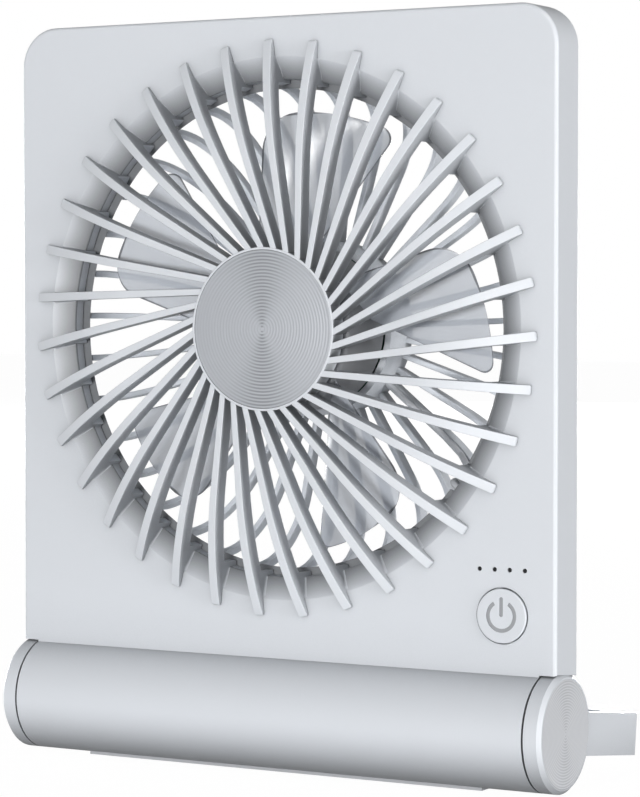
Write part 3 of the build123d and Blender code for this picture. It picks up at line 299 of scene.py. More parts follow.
class NodeTree:
    """Short calls for a shader node tree."""

    def __init__(self, tree: bpy.types.NodeTree) -> None:
        """Wrap one tree."""
        self.tree = tree

    def feed(self, node: bpy.types.Node, inputs: dict) -> None:
        """Set a node's inputs to values or link them to sockets.

        Args:
            node: The node.
            inputs: Values or sockets, by the input's name or number.
        """
        for key, value in inputs.items():
            if isinstance(value, Socket):
                self.tree.links.new(value, node.inputs[key])
            else:
                node.inputs[key].default_value = value

    def add(self, kind: str, inputs: dict | None = None, **settings: object) -> bpy.types.Node:
        """Add a node.

        Args:
            kind: Blender's node type.
            inputs: Values or sockets for the node's inputs, by name or number.
            settings: Properties of the node.

        Returns:
            The node.
        """
        node = self.tree.nodes.new(kind)
        for key, value in settings.items():
            setattr(node, key, value)
        self.feed(node, inputs or {})
        return node

    def math(self, operation: str, first: object, second: object = 0.0, third: object = 0.0) -> Socket:
        """Result of one sum on values or sockets."""
        return self.add("ShaderNodeMath", {0: first, 1: second, 2: third}, operation=operation).outputs[0]

    def vector(self, operation: str, first: object, second: object = (0, 0, 0),
               result: str = "Vector") -> Socket:
        """Result of one sum on vectors or sockets."""
        return self.add("ShaderNodeVectorMath", {0: first, 1: second}, operation=operation).outputs[result]

    def reach(self, vector: Socket, centre: object, plane: Rgb) -> Socket:
        """Distance from a centre within a plane, whose two axes are the ones of a vector."""
        flat = self.vector("MULTIPLY", self.vector("SUBTRACT", vector, centre), plane)
        return self.vector("LENGTH", flat, result="Value")

    def mix(self, factor: object, first: object, second: object, blend: str = "MIX") -> Socket:
        """Colour from two colours or sockets by a factor."""
        inputs = {"Factor": factor, "A": first, "B": second}
        return self.add("ShaderNodeMix", inputs, data_type="RGBA", blend_type=blend).outputs["Result"]

    def dimmed(self, colour: Socket, share: float, mask: Socket) -> Socket:
        """Colour that keeps only a share of itself where a mask is zero."""
        return self.mix(mask, self.mix(1.0, colour, (share, share, share, 1), "MULTIPLY"), colour)

    def place(self) -> Socket:
        """The piece's own coordinates."""
        return self.add("ShaderNodeTexCoord").outputs["Object"]

    def effect(self, group: bpy.types.NodeTree, values: dict) -> bpy.types.bpy_prop_collection:
        """Outputs of a shared effect with its inputs' values, on the piece's own coordinates by default."""
        inputs = {"Vector": self.place(), **values} if "Vector" not in values else values
        return self.add("ShaderNodeGroup", inputs, node_tree=group).outputs


class SharedEffects:
    """Node groups that several finishes use."""

    DRIFT_SCALE = 14.0
    PIT_ROUGHNESS = 0.6
    GRAIN_SPREAD = 0.16
    SECTOR_POWER = 5.0
    BRUSH_SCALE = 2600.0
    BRUSH_STRETCH = (0.05, 1.0, 1.0)
    BRUSH_SPREAD = 0.3
    UPRIGHT_PLANE = (1.0, 0.0, 1.0)
    MAPPED_PLANE = (1.0, 1.0, 0.0)

    def __init__(self) -> None:
        """Build each group once."""
        self.grain = self._moulded_grain()
        self.rings = self._turned_rings()
        self.brush = self._fine_brush()
        self.sunken = self._sunken_mark()
        self.shade_fall = self._radial_fall()

    @staticmethod
    def _group(name: str, inputs: dict[str, str], outputs: dict[str, str]) -> tuple[NodeTree, object]:
        """Empty group with named sockets.

        Args:
            name: Group's name.
            inputs: Socket types by name.
            outputs: Socket types by name.

        Returns:
            The tree and its input node's sockets.
        """
        tree = bpy.data.node_groups.new(name, "ShaderNodeTree")
        for way, sockets in (("INPUT", inputs), ("OUTPUT", outputs)):
            for label, kind in sockets.items():
                tree.interface.new_socket(label, in_out=way, socket_type=kind)
        nodes = NodeTree(tree)
        return nodes, nodes.add("NodeGroupInput").outputs

    def _moulded_grain(self) -> bpy.types.NodeTree:
        """Fine spark-eroded grain and slow drift of tone of a moulding.

        Returns:
            The group.
        """
        nodes, source = self._group(
            "moulded_grain", {"Vector": VECTOR, "Tone": COLOUR, "Deep Tone": COLOUR, "Grain Scale": FLOAT,
                              "Roughness": FLOAT}, {"Color": COLOUR, "Roughness": FLOAT, "Height": FLOAT})
        drift = nodes.add("ShaderNodeTexNoise", {"Vector": source["Vector"], "Scale": self.DRIFT_SCALE,
                                                 "Detail": 3.0})
        pits = nodes.add("ShaderNodeTexNoise", {
            "Vector": source["Vector"], "Scale": source["Grain Scale"], "Detail": 2.0,
            "Roughness": self.PIT_ROUGHNESS}).outputs["Fac"]
        spread = nodes.math("MULTIPLY", nodes.math("SUBTRACT", pits, 0.5), self.GRAIN_SPREAD)
        nodes.add("NodeGroupOutput", {
            "Color": nodes.mix(drift.outputs["Fac"], source["Tone"], source["Deep Tone"]),
            "Roughness": nodes.math("ADD", source["Roughness"], spread), "Height": pits})
        return nodes.tree

    def _turned_rings(self) -> bpy.types.NodeTree:
        """Concentric tool rings about the mapped Z axis, and the sectors where a painted sheen makes them
        catch the light.

        The ring's height is the sine of the distance from the axis over the pitch. A sector is the
        squared cosine from the upright direction, sharpened.

        Returns:
            The group.
        """
        nodes, source = self._group("turned_rings", {"Vector": VECTOR, "Pitch": FLOAT, "Upright": VECTOR},
                                    {"Ring": FLOAT, "Sector": FLOAT})
        reach = nodes.reach(source["Vector"], (0, 0, 0), self.MAPPED_PLANE)
        phase = nodes.math("MULTIPLY", nodes.math("DIVIDE", reach, source["Pitch"]), 2 * math.pi)
        upright = nodes.vector("DOT_PRODUCT", source["Vector"], source["Upright"], "Value")
        lean = nodes.math("DIVIDE", upright, nodes.math("ADD", reach, WELD))
        nodes.add("NodeGroupOutput", {
            "Ring": nodes.math("MULTIPLY_ADD", nodes.math("SINE", phase), 0.5, 0.5),
            "Sector": nodes.math("POWER", nodes.math("MULTIPLY", lean, lean), self.SECTOR_POWER)})
        return nodes.tree

    def _radial_fall(self) -> bpy.types.NodeTree:
        """Mask for painted shade that rises from zero to one between two radii about an axis along Y, in
        front of a plane.

        Returns:
            The group.
        """
        nodes, source = self._group("radial_fall", {"Vector": VECTOR, "Centre": VECTOR, "Inner": FLOAT,
                                                    "Outer": FLOAT, "Level": FLOAT}, {"Mask": FLOAT})
        reach = nodes.reach(source["Vector"], source["Centre"], self.UPRIGHT_PLANE)
        rise = nodes.add("ShaderNodeMapRange", {"Value": reach, "From Min": source["Inner"],
                                                "From Max": source["Outer"]}).outputs["Result"]
        depth = nodes.add("ShaderNodeSeparateXYZ", {0: source["Vector"]}).outputs["Y"]
        behind = nodes.math("GREATER_THAN", depth, source["Level"])
        nodes.add("NodeGroupOutput", {"Mask": nodes.math("MAXIMUM", rise, behind)})
        return nodes.tree

    def _sunken_mark(self) -> bpy.types.NodeTree:
        """Mask for painted shade that is one behind a plane along Y and within a radius of its centre.

        Returns:
            The group.
        """
        nodes, source = self._group("sunken_mark", {"Vector": VECTOR, "Level": FLOAT, "Centre": VECTOR,
                                                    "Reach": FLOAT}, {"Mask": FLOAT})
        reach = nodes.reach(source["Vector"], source["Centre"], self.UPRIGHT_PLANE)
        depth = nodes.add("ShaderNodeSeparateXYZ", {0: source["Vector"]}).outputs["Y"]
        behind = nodes.math("GREATER_THAN", depth, source["Level"])
        within = nodes.math("LESS_THAN", reach, source["Reach"])
        nodes.add("NodeGroupOutput", {"Mask": nodes.math("MULTIPLY", behind, within)})
        return nodes.tree

    def _fine_brush(self) -> bpy.types.NodeTree:
        """Short drawn lines along the mapped X axis.

        Returns:
            The group.
        """
        nodes, source = self._group("fine_brush", {"Vector": VECTOR, "Roughness": FLOAT},
                                    {"Shade": FLOAT, "Roughness": FLOAT})
        drawn = nodes.vector("MULTIPLY", source["Vector"], self.BRUSH_STRETCH)
        lines = nodes.add("ShaderNodeTexNoise", {"Vector": drawn, "Scale": self.BRUSH_SCALE,
                                                 "Detail": 2.0}).outputs["Fac"]
        spread = nodes.math("MULTIPLY", nodes.math("SUBTRACT", lines, 0.5), self.BRUSH_SPREAD)
        nodes.add("NodeGroupOutput", {
            "Shade": lines, "Roughness": nodes.math("ADD", source["Roughness"], spread)})
        return nodes.tree


def blank_material(name: str) -> tuple[bpy.types.Material, NodeTree, bpy.types.Node]:
    """New node material with one Principled shader.

    Args:
        name: Material's name.

    Returns:
        The material, its tree and its shader.
    """
    material = bpy.data.materials.new(name)
    material.use_nodes = True
    material.node_tree.nodes.clear()
    nodes = NodeTree(material.node_tree)
    shader = nodes.add("ShaderNodeBsdfPrincipled")
    nodes.add("ShaderNodeOutputMaterial", {"Surface": shader.outputs["BSDF"]})
    return material, nodes, shader


@dataclass(frozen=True)
class Moulding:
    """Moulded plastic or rubber with a fine grain.

    Attributes:
        name: Material's name.
        tone: Main colour.
        deep: Colour that it drifts towards.
        roughness: Mean roughness.
        grain: Grain scale, per metre.
        bump: Grain depth, in metres.
        coat: Weight of a clear gloss over it.
        occlusion_shade: Share of the colour that painted shade leaves in a closed recess.
        occlusion_reach: How far round a point a recess is looked for, for that painted shade, in metres.
        relief: Strength of the grain's relief.
    """

    name: str
    tone: Rgb
    deep: Rgb
    roughness: float = 0.5
    grain: float = 2400.0
    bump: float = 0.00002
    coat: float = 0.0
    occlusion_shade: float = 1.0
    occlusion_reach: float = 0.014
    relief: float = 0.6

    def face(self, nodes: NodeTree, effects: SharedEffects, colour: Socket) -> Socket:
        """Colour of the face, with painted shade where other surfaces stand close round a point.

        Args:
            nodes: Material's tree.
            effects: Shared node groups; not used here.
            colour: Colour in the open.

        Returns:
            The face's colour.
        """
        if self.occlusion_shade == 1.0:
            return colour
        # Painted shade: ambient occlusion darkens the colour in recesses and between parts.
        near = nodes.add("ShaderNodeAmbientOcclusion", {"Distance": self.occlusion_reach}, samples=8)
        return nodes.dimmed(colour, self.occlusion_shade, near.outputs["AO"])

    def material(self, effects: SharedEffects) -> bpy.types.Material:
        """Build the material.

        Args:
            effects: Shared node groups.

        Returns:
            The material.
        """
        material, nodes, shader = blank_material(self.name)
        grain = nodes.effect(effects.grain, {"Tone": (*self.tone, 1), "Deep Tone": (*self.deep, 1),
                                             "Grain Scale": self.grain, "Roughness": self.roughness})
        bump = nodes.add("ShaderNodeBump", {"Height": grain["Height"], "Distance": self.bump,
                                            "Strength": self.relief})
        nodes.feed(shader, {"Base Color": self.face(nodes, effects, grain["Color"]),
                            "Roughness": grain["Roughness"], "Normal": bump.outputs["Normal"],
                            "Coat Weight": self.coat})
        return material


@dataclass(frozen=True)
class MouthShadePlastic(Moulding):
    """Moulding with painted shade that darkens it towards the throat of a bell mouth along Y.

    Attributes:
        centre: Point on the mouth's axis, in metres.
        inner: Throat radius, in metres.
        outer: Radius where the mouth meets the panel, in metres.
        level: Y of the plane in front of which it is shaded, in metres.
        shade: Share of the colour that the painted shade leaves at the throat.
    """

    centre: tuple[float, float, float] = (0.0, 0.0, 0.0)
    inner: float = THROAT_R
    outer: float = BELL_R
    level: float = 0.0
    shade: float = 0.32

    def face(self, nodes: NodeTree, effects: SharedEffects, colour: Socket) -> Socket:
        """Colour of the face, with painted shade towards the throat."""
        # Painted shade: darker towards the throat, in front of the level.
        shade_fall = nodes.effect(effects.shade_fall, {"Centre": self.centre, "Inner": self.inner, "Outer": self.outer,
                                           "Level": self.level})
        return nodes.dimmed(super().face(nodes, effects, colour), self.shade, shade_fall["Mask"])


@dataclass(frozen=True)
class EngravedKey(Moulding):
    """Moulded key with darker painted shade on the floor of its sunken power symbol.

    Attributes:
        mark_shade: Colour painted on the symbol's floor as shade.
        level: Y of a plane just under the key's face, in metres.
        centre: The key's centre in X and Z, in metres.
        reach: Radius that the symbol stays within, in metres.
    """

    mark_shade: Rgb = (0.36, 0.37, 0.39)
    level: float = 0.0
    centre: tuple[float, float] = (0.0, 0.0)
    reach: float = 5.0 * MM

    def face(self, nodes: NodeTree, effects: SharedEffects, colour: Socket) -> Socket:
        """Colour of the face, with painted shade on the symbol's floor.

        Args:
            nodes: Material's tree.
            effects: Shared node groups.
            colour: Colour in the open.

        Returns:
            The face's colour.
        """
        x, z = self.centre
        # Painted shade on the floor of the sunken symbol.
        sunk = nodes.effect(effects.sunken, {"Level": self.level, "Centre": (x, 0, z), "Reach": self.reach})
        return nodes.mix(sunk["Mask"], super().face(nodes, effects, colour), (*self.mark_shade, 1))


@dataclass(frozen=True)
class TurnedFace:
    """Flat face with fine concentric tool rings, drawn as painted sheen and shade.

    Attributes:
        name: Material's name.
        tone: Crest colour.
        deep: Groove colour, painted shade in the rings.
        centre: Point on the turning axis, in metres.
        spin: Axis of the rings.
        pitch: Distance between rings, in metres.
        metallic: Share of metal.
        contrast: Ring contrast outside the upright sectors, where the painted sheen is weaker.
        roughness: Roughness across the face.
        groove: Depth of the rings, in metres.
        relief: Strength of the rings' relief.
    """

    name: str
    tone: Rgb
    deep: Rgb
    centre: tuple[float, float, float]
    spin: Spin
    pitch: float
    metallic: float = 0.6
    contrast: float = 0.3
    roughness: float = 0.42
    groove: float = 0.00006
    relief: float = 0.5

    def material(self, effects: SharedEffects) -> bpy.types.Material:
        """Build the material.

        Args:
            effects: Shared node groups.

        Returns:
            The material.
        """
        material, nodes, shader = blank_material(self.name)
        quarter = math.pi / 2
        along_y = self.spin is Spin.ALONG_Y
        mapping = nodes.add("ShaderNodeMapping", {
            "Vector": nodes.place(), "Location": self.centre,
            "Rotation": (quarter, 0, 0) if along_y else (0, quarter, 0)}, vector_type="TEXTURE")
        rings = nodes.effect(effects.rings, {"Vector": mapping.outputs["Vector"], "Pitch": self.pitch,
                                             "Upright": (0, 1, 0) if along_y else (1, 0, 0)})
        # Painted sheen: the rings' colour contrast is strongest in the upright sectors.
        strength = nodes.math("MULTIPLY_ADD", rings["Sector"], 1 - self.contrast, self.contrast)
        shade = nodes.math("MULTIPLY", nodes.math("SUBTRACT", 1.0, rings["Ring"]), strength)
        bump = nodes.add("ShaderNodeBump", {"Height": rings["Ring"], "Distance": self.groove,
                                            "Strength": self.relief})
        nodes.feed(shader, {"Base Color": nodes.mix(shade, (*self.tone, 1), (*self.deep, 1)),
                            "Normal": bump.outputs["Normal"], "Metallic": self.metallic,
                            "Roughness": self.roughness})
        return material


@dataclass(frozen=True)
class BareMetal:
    """Metal with fine drawn lines.

    Attributes:
        name: Material's name.
        tone: Bright colour.
        deep: Colour in the lines.
        roughness: Mean roughness.
    """

    name: str
    tone: Rgb
    deep: Rgb
    roughness: float = 0.35

    def material(self, effects: SharedEffects) -> bpy.types.Material:
        """Build the material.

        Args:
            effects: Shared node groups.

        Returns:
            The material.
        """
        material, nodes, shader = blank_material(self.name)
        brush = nodes.effect(effects.brush, {"Roughness": self.roughness})
        nodes.feed(shader, {"Base Color": nodes.mix(brush["Shade"], (*self.deep, 1), (*self.tone, 1)),
                            "Roughness": brush["Roughness"], "Metallic": 1.0})
        return material


@dataclass(frozen=True)
class ClearPlastic:
    """Thin see-through moulding.

    Attributes:
        name: Material's name.
        tone: Body colour.
        deep: Colour that it drifts towards.
        cover: Share of light that one wall stops.
        roughness: Surface roughness.
        grain: Grain scale, per metre.
    """

    name: str
    tone: Rgb
    deep: Rgb
    cover: float
    roughness: float = 0.22
    grain: float = 900.0

    def material(self, effects: SharedEffects) -> bpy.types.Material:
        """Build the material.

        Args:
            effects: Shared node groups.

        Returns:
            The material.
        """
        material, nodes, shader = blank_material(self.name)
        grain = nodes.effect(effects.grain, {"Tone": (*self.tone, 1), "Deep Tone": (*self.deep, 1),
                                             "Grain Scale": self.grain, "Roughness": self.roughness})
        nodes.feed(shader, {"Base Color": grain["Color"], "Roughness": grain["Roughness"],
                            "Alpha": self.cover})
        return material


@dataclass
class BarCrown:
    """Ring of straight bars that pass the fan axis at a distance.

    Attributes:
        count: Number of bars.
        offset: Distance at which a bar passes the axis.
        phase: Clock angle of the first bar, in degrees.
        inner: Radius of the roots.
        outer: Radius of the tips.
        width: Bar width as a function of the radius.
        front: Y of the front edge as a function of the radius.
        back: Y of the back edge as a function of the radius.
        knots: Radii where the edges change slope.
        front_round: Radius of the front edges.
        back_round: Radius of the back edges as a function of the radius, below zero where the bar
            spreads onto what it stands on.
        tip_round: Radius of the tip.
        stations: Even steps along a bar.
        arc: Points on each rounded edge.
    """

    count: int
    offset: float
    phase: float
    inner: float
    outer: float
    width: Callable[[np.ndarray], np.ndarray]
    front: Callable[[np.ndarray], np.ndarray]
    back: Callable[[np.ndarray], np.ndarray]
    knots: tuple[float, ...] = ()
    front_round: float = 0.35 * MM
    back_round: Callable[[np.ndarray], np.ndarray] = lambda radius: np.full(radius.shape, 0.2 * MM)
    tip_round: float = 0.4 * MM
    stations: int = 40
    arc: int = 5

    def rings(self, fan_z: float) -> np.ndarray:
        """Sections of every bar.

        A bar's point is (offset + a) across + t along, with a over the width, t along the bar and
        its y between the front and back edges at the radius sqrt(offset^2 + t^2). The last stations
        draw in on a quarter circle, which rounds the tip.

        Args:
            fan_z: Height of the fan axis.

        Returns:
            Points, as bars by stations by section points by three.
        """
        ends = np.array([self.inner, self.outer, *self.knots])
        reach = np.sqrt(ends ** 2 - self.offset ** 2)
        bend = np.linspace(0, np.pi / 2, self.arc)
        tip = reach[1] - self.tip_round * (1 - np.cos(bend))
        t = np.unique(np.concatenate([np.linspace(reach[0], reach[1], self.stations), reach, tip]))
        radius = np.sqrt(self.offset ** 2 + t ** 2)
        left = np.clip(reach[1] - t, 0, self.tip_round)
        draw = self.tip_round - np.sqrt(self.tip_round ** 2 - (self.tip_round - left) ** 2)
        half = self.width(radius) / 2 - draw
        front, back = self.front(radius) + draw, self.back(radius)
        side = np.repeat([1, -1, -1, 1], self.arc)
        arc = np.concatenate([bend, bend[::-1], bend, bend[::-1]])
        is_front = np.repeat([True, True, False, False], self.arc)
        ease = np.where(is_front, self.front_round, self.back_round(radius)[:, None])
        across = side * (half[:, None] - ease * (1 - np.cos(arc)))
        y = np.where(is_front, front[:, None] + ease * (1 - np.sin(arc)),
                     back[:, None] - np.abs(ease) * (1 - np.sin(arc)))
        turn = np.radians(self.phase + np.arange(self.count) * 360 / self.count)[:, None, None]
        shift = (self.offset + across)[None]
        along = t[None, :, None]
        x = shift * np.cos(turn) + along * np.sin(turn)
        z = fan_z - shift * np.sin(turn) + along * np.cos(turn)
        return np.stack([x, np.broadcast_to(y[None], x.shape), z], axis=-1)


def eased_drop(radius: np.ndarray, flat: float, end: float, top: float, low: float,
               sink: float = 0.0) -> np.ndarray:
    """Y that is level to one radius and then leaves on a tangent arc to another.

    Args:
        radius: Radii asked for.
        flat: Radius where the arc starts.
        end: Radius where the arc ends.
        top: Level part's y.
        low: The arc's y at its end.
        sink: Depth of a line inside the arc, about the same centre.

    Returns:
        That line's y at those radii.
    """
    run, drop = end - flat, low - top
    arc = (run ** 2 + drop ** 2) / (2 * abs(drop))
    past = np.clip(radius - flat, 0, run)
    return top + math.copysign(1, drop) * (arc - np.sqrt((arc - sink) ** 2 - past ** 2))


@dataclass
class FrontGrille:
    """Bell-mouth ring, swirled fins with their webs, hub ring and turned hub disc.

    Attributes:
        layout: Places of the frame.
        web_step: How far a web's inner edge stands inside the throat.
        web_spread: How far a web spreads where it meets the bell mouth.
        fin_sink: Depth of the fins' front edges behind the hub ring's face.
        crisp: Radius of an edge that looks sharp.
        bite: How far a fin stands inside what carries it, and the radius of its back edges.
        hair: Half thickness of the rim that laps over the panel's face.
        lap: Width of that rim.
    """

    layout: Layout
    bell_depth: float = 2.5 * MM
    throat_length: float = 3.1 * MM
    ring_wall: float = 1.4 * MM
    flange: float = 2.4 * MM
    flange_thick: float = 1.5 * MM
    fin_count: int = 35
    fin_offset: float = 9.38 * MM
    fin_phase: float = -9.28
    tip_r: float = 69.5 * MM
    tip_width: float = 2.3 * MM
    root_width: float = 1.5 * MM
    tip_height: float = 0.9 * MM
    plateau: float = 40.0 * MM
    fin_depth: float = 4.2 * MM
    web_step: float = 1.0 * MM
    web_spread: float = 0.9 * MM
    fin_sink: float = 0.08 * MM
    hub_rise: float = 6.7 * MM
    hub_depth: float = 5.0 * MM
    hub_r: float = 19.6 * MM
    hub_rim: float = 0.6 * MM
    hub_wall: float = 2.0 * MM
    disc_sink: float = 0.15 * MM
    disc_thick: float = 1.2 * MM
    crisp: float = 0.1 * MM
    bite: float = 0.2 * MM
    hair: float = 0.01 * MM
    lap: float = 0.3 * MM
    throat_ease: float = 0.5 * MM
    fin_ease: float = 0.16 * MM

    @property
    def web(self) -> float:
        """Radius of the webs' inner edges."""
        return THROAT_R - self.web_step

    def fin_front(self, radius: np.ndarray, sink: float) -> np.ndarray:
        """Y, at those radii, of a line that lies the sink's depth behind the fins' front edge."""
        top, low = self.layout.front - self.hub_rise, self.layout.front - self.tip_height
        return eased_drop(radius, self.plateau, self.tip_r, top, low, sink)

    def fin_back(self, radius: np.ndarray) -> np.ndarray:
        """Y of the fins' back edge: along the bar, down the web, up the bell and over the panel's face.

        Args:
            radius: Radii asked for.

        Returns:
            Back edge at those radii.
        """
        front, bite = self.layout.front, self.bite
        deep = front + self.bell_depth + self.throat_length
        stops = [self.web, THROAT_R + bite, THROAT_R + 2 * bite, BELL_R, BELL_R + bite]
        heights = [deep, deep, front + self.bell_depth + bite, front + bite, front - SEAT]
        bar = self.fin_front(radius, self.fin_depth)
        return np.where(radius < self.web, bar, np.interp(radius, stops, heights))

    def fin_spread(self, radius: np.ndarray) -> np.ndarray:
        """Rounding of the fins' back edges, below zero where a web spreads onto the bell mouth.

        Args:
            radius: Radii asked for.

        Returns:
            Signed radii.
        """
        bite, spread = self.bite, self.web_spread
        stops = [THROAT_R, THROAT_R + 2 * bite, BELL_R - bite, BELL_R + bite]
        return np.interp(radius, stops, [bite, -spread, -spread, bite])

    def build(self, plastic: bpy.types.Material, mouth: bpy.types.Material, disc: bpy.types.Material) -> None:
        """Make the moulding and the hub disc.

        Args:
            plastic: Case plastic.
            mouth: The same plastic, with painted shade towards the bell mouth's throat.
            disc: Turned face of the hub disc.
        """
        front, fan_z = self.layout.front, self.layout.fan_z
        hub_front = front - self.hub_rise
        hub_back = hub_front + self.hub_depth
        axis = (0, 0, fan_z)
        grille = Sculpt("finned_grille")
        throat_front = front + self.bell_depth
        throat_back = throat_front + self.throat_length
        flange_front = front + SHELL_WALL + SEAT
        flange_back = flange_front + self.flange_thick
        outer = BELL_R + self.flange
        wall = THROAT_R + self.ring_wall
        crisp, hair, bite = self.crisp, self.hair, self.bite
        lap = BELL_R + self.lap
        bell, throat = BELL_R, THROAT_R
        ring = rounded([(bell, front - hair, 0), (lap, front - hair, 0), (lap, front + hair, 0),
                        (bell, front + hair, 0), (bell, flange_front, 0), (outer, flange_front, crisp),
                        (outer, flange_back, crisp), (wall, flange_back, 0), (wall, throat_back, crisp),
                        (throat, throat_back, crisp), (throat, throat_front, self.throat_ease)][::-1])
        # The bell ring takes the mouth finish, with painted shade towards the throat.
        grille.turned(ring, axis, RING_SIDES, finish=1)
        seat_back = hub_front + self.disc_sink + self.disc_thick
        rim = self.hub_r - self.hub_rim
        cup = self.hub_r - self.hub_wall
        hub = rounded([(0, seat_back, 0), (rim, seat_back, 0), (rim, hub_front, crisp),
                       (self.hub_r, hub_front, 2 * crisp), (self.hub_r, hub_back, crisp),
                       (cup, hub_back, crisp), (cup, seat_back + self.disc_thick, 0),
                       (0, seat_back + self.disc_thick, 0)])
        grille.turned(hub, axis)
        crown = BarCrown(
            count=self.fin_count, offset=self.fin_offset, phase=self.fin_phase,
            inner=rim + self.hub_rim / 2, outer=self.tip_r,
            knots=(self.web - SEAT, self.web, throat, throat + bite, throat + 2 * bite,
                   bell - bite, bell, bell + bite),
            width=lambda r: np.interp(r, [rim, self.tip_r], [self.root_width, self.tip_width]),
            front=lambda r: self.fin_front(r, self.fin_sink), back=self.fin_back,
            front_round=self.fin_ease, back_round=self.fin_spread)
        for rings in crown.rings(fan_z):
            grille.carried(rings)
        piece = grille.build([plastic, mouth], "fan_body", "case_plastic", weighted=True)
        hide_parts("bell_ring", "hub_ring", "front_fins")
        cap = Sculpt("hub_disc")
        edge = rim - SEAT
        face = hub_front + self.disc_sink
        disc_loop = rounded([(0, face, 0), (edge, face, crisp), (edge, seat_back, 0), (0, seat_back, 0)])
        cap.turned(disc_loop, axis)
        piece = cap.build([disc], "fan_body", "turned_metal")
        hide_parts("hub_cap")


@dataclass
class PanelShell:
    """Upright panel with round upper corners, eased edges and its holes.

    Attributes:
        layout: Places of the frame.
    """

    layout: Layout
    corner: float = 9.75 * MM
    edge: float = 0.9 * MM
    back_edge: float = 0.3 * MM
    hub_gap: float = 0.5 * MM
    key_r: float = 6.55 * MM
    key_edge: float = 0.2 * MM
    lamp_r: float = 0.55 * MM
    lamp_pitch: float = 3.87 * MM
    lamp_count: int = 4
    lamp_rise: float = 10.7 * MM
    key_sides: int = 72
    lamp_sides: int = 20
    edge_steps: int = 7
    small_steps: int = 4

    def loop(self, inset: float, y: float, floor: float = 0.0) -> np.ndarray:
        """Outline of the panel at one depth, with its foot on the tube's curve.

        The foot's height at a depth y is the tube axis plus the root of the gap circle's radius
        squared less y squared, with a wider gap beside the stand's hubs.

        Args:
            inset: Distance inside the outer outline.
            y: Depth of the loop.
            floor: How much higher the foot stands.

        Returns:
            Points of the loop, as (x, y, z).
        """
        lay = self.layout
        half, top = lay.half - inset, lay.top - inset
        foot = lay.tube_z + math.sqrt((lay.tube_r + SEAT) ** 2 - y ** 2) + floor
        step = lay.tube_z + math.sqrt((lay.tube_r + self.hub_gap) ** 2 - y ** 2) + floor
        corner = self.corner - inset
        end = lay.tube_end
        flat = rounded([(-end, foot, 0), (end, foot, 0), (end, step, 0), (half, step, 0), (half, top, corner),
                        (-half, top, corner), (-half, step, 0), (-end, step, 0)], steps=12)
        return np.insert(flat, 1, y, axis=1)

    def holes(self, ease: float) -> list[np.ndarray]:
        """Loops of the ring, button and lamp holes, as (x, z).

        Args:
            ease: How much wider the button's hole is.

        Returns:
            One loop for each hole.
        """
        lay = self.layout
        key_x, key_z = lay.button
        first = key_x - self.lamp_pitch * (self.lamp_count - 1) / 2
        loops = [circle(BELL_R + SEAT, RING_SIDES, (0, lay.fan_z)),
                 circle(self.key_r + ease, self.key_sides, lay.button)]
        loops += [circle(self.lamp_r, self.lamp_sides, (first + k * self.lamp_pitch, key_z + self.lamp_rise))
                  for k in range(self.lamp_count)]
        return loops

    def build(self, plastic: bpy.types.Material) -> None:
        """Make the shell.

        Args:
            plastic: Case plastic.
        """
        lay = self.layout
        shell = Sculpt("panel_shell")
        rows = [self.loop(inset, lay.front + depth) for inset, depth in quarter(self.edge, self.edge_steps)]
        back_round = quarter(self.back_edge, self.small_steps)[::-1]
        rows += [self.loop(inset, lay.back - depth) for inset, depth in back_round]
        inner = lay.front + SHELL_WALL
        rows += [self.loop(SHELL_WALL, lay.back, SHELL_WALL), self.loop(SHELL_WALL, inner, SHELL_WALL)]
        shell.strip(rows)
        for y, outer, ease in ((lay.front, rows[0], self.key_edge), (inner, rows[-1], 0.0)):
            flat, faces = fill([outer[:, [0, 2]], *self.holes(ease)])
            shell.add(np.insert(flat, 1, y, axis=1), faces)
        rims = [(ease, lay.front + depth) for ease, depth in quarter(self.key_edge, self.small_steps)]
        rims.append((0.0, inner))
        for loops in zip(*(self.holes(ease) for ease, _ in rims)):
            shell.strip([np.insert(loop, 1, y, axis=1) for loop, (_, y) in zip(loops, rims)])
        piece = shell.build([plastic], "fan_body", "case_plastic", weighted=True)
        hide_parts("front_shell")


@dataclass
class RearRibs:
    """Straight ribs of the intake basket, level behind the motor and bent round to the rear ring.

    Attributes:
        layout: Places of the frame.
        edge: Radius of the ribs' outer edges.
        leg_step: How far the inner edge bends in front of the panel's back.
        cup_wall: How far the roots stand inside the motor cup.
        sliver: Length over which the inner edge turns down the leg.
    """

    layout: Layout
    count: int = 35
    phase: float = -4.9
    width: float = 1.4 * MM
    depth: float = 3.4 * MM
    edge: float = 60.5 * MM
    leg_step: float = 1.5 * MM
    cup_wall: float = 0.8 * MM
    sliver: float = 0.02 * MM
    tip_ease: float = 0.1 * MM
    bend_steps: int = 18

    def build(self, plastic: bpy.types.Material) -> None:
        """Make the ribs between the motor cup and the ring.

        Args:
            plastic: Rib plastic.
        """
        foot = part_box("rear_ring")[1].y
        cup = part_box("motor_cup")[1]
        level, bend_end = cup.y, self.layout.back
        edge = self.edge
        leg = edge - self.depth / 2
        flat = edge - (level - bend_end)
        bend = np.sin(np.linspace(0, np.pi / 2, self.bend_steps))
        crown = BarCrown(
            count=self.count, offset=0.0, phase=self.phase, inner=cup.x - self.cup_wall, outer=edge,
            knots=(*(flat + (leg - self.sliver - flat) * bend), leg, *(flat + (edge - flat) * bend)),
            width=lambda r: np.full(r.shape, self.width),
            front=lambda r: np.where(r < leg, eased_drop(r, flat, leg, level - self.depth,
                                                         bend_end - self.leg_step), foot),
            back=lambda r: eased_drop(r, flat, edge, level, bend_end), tip_round=self.tip_ease, stations=12)
        ribs = Sculpt("intake_ribs")
        for rings in crown.rings(self.layout.fan_z):
            ribs.carried(rings)
        piece = ribs.build([plastic], "fan_body", "case_plastic", weighted=True)
        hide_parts("rear_ribs")


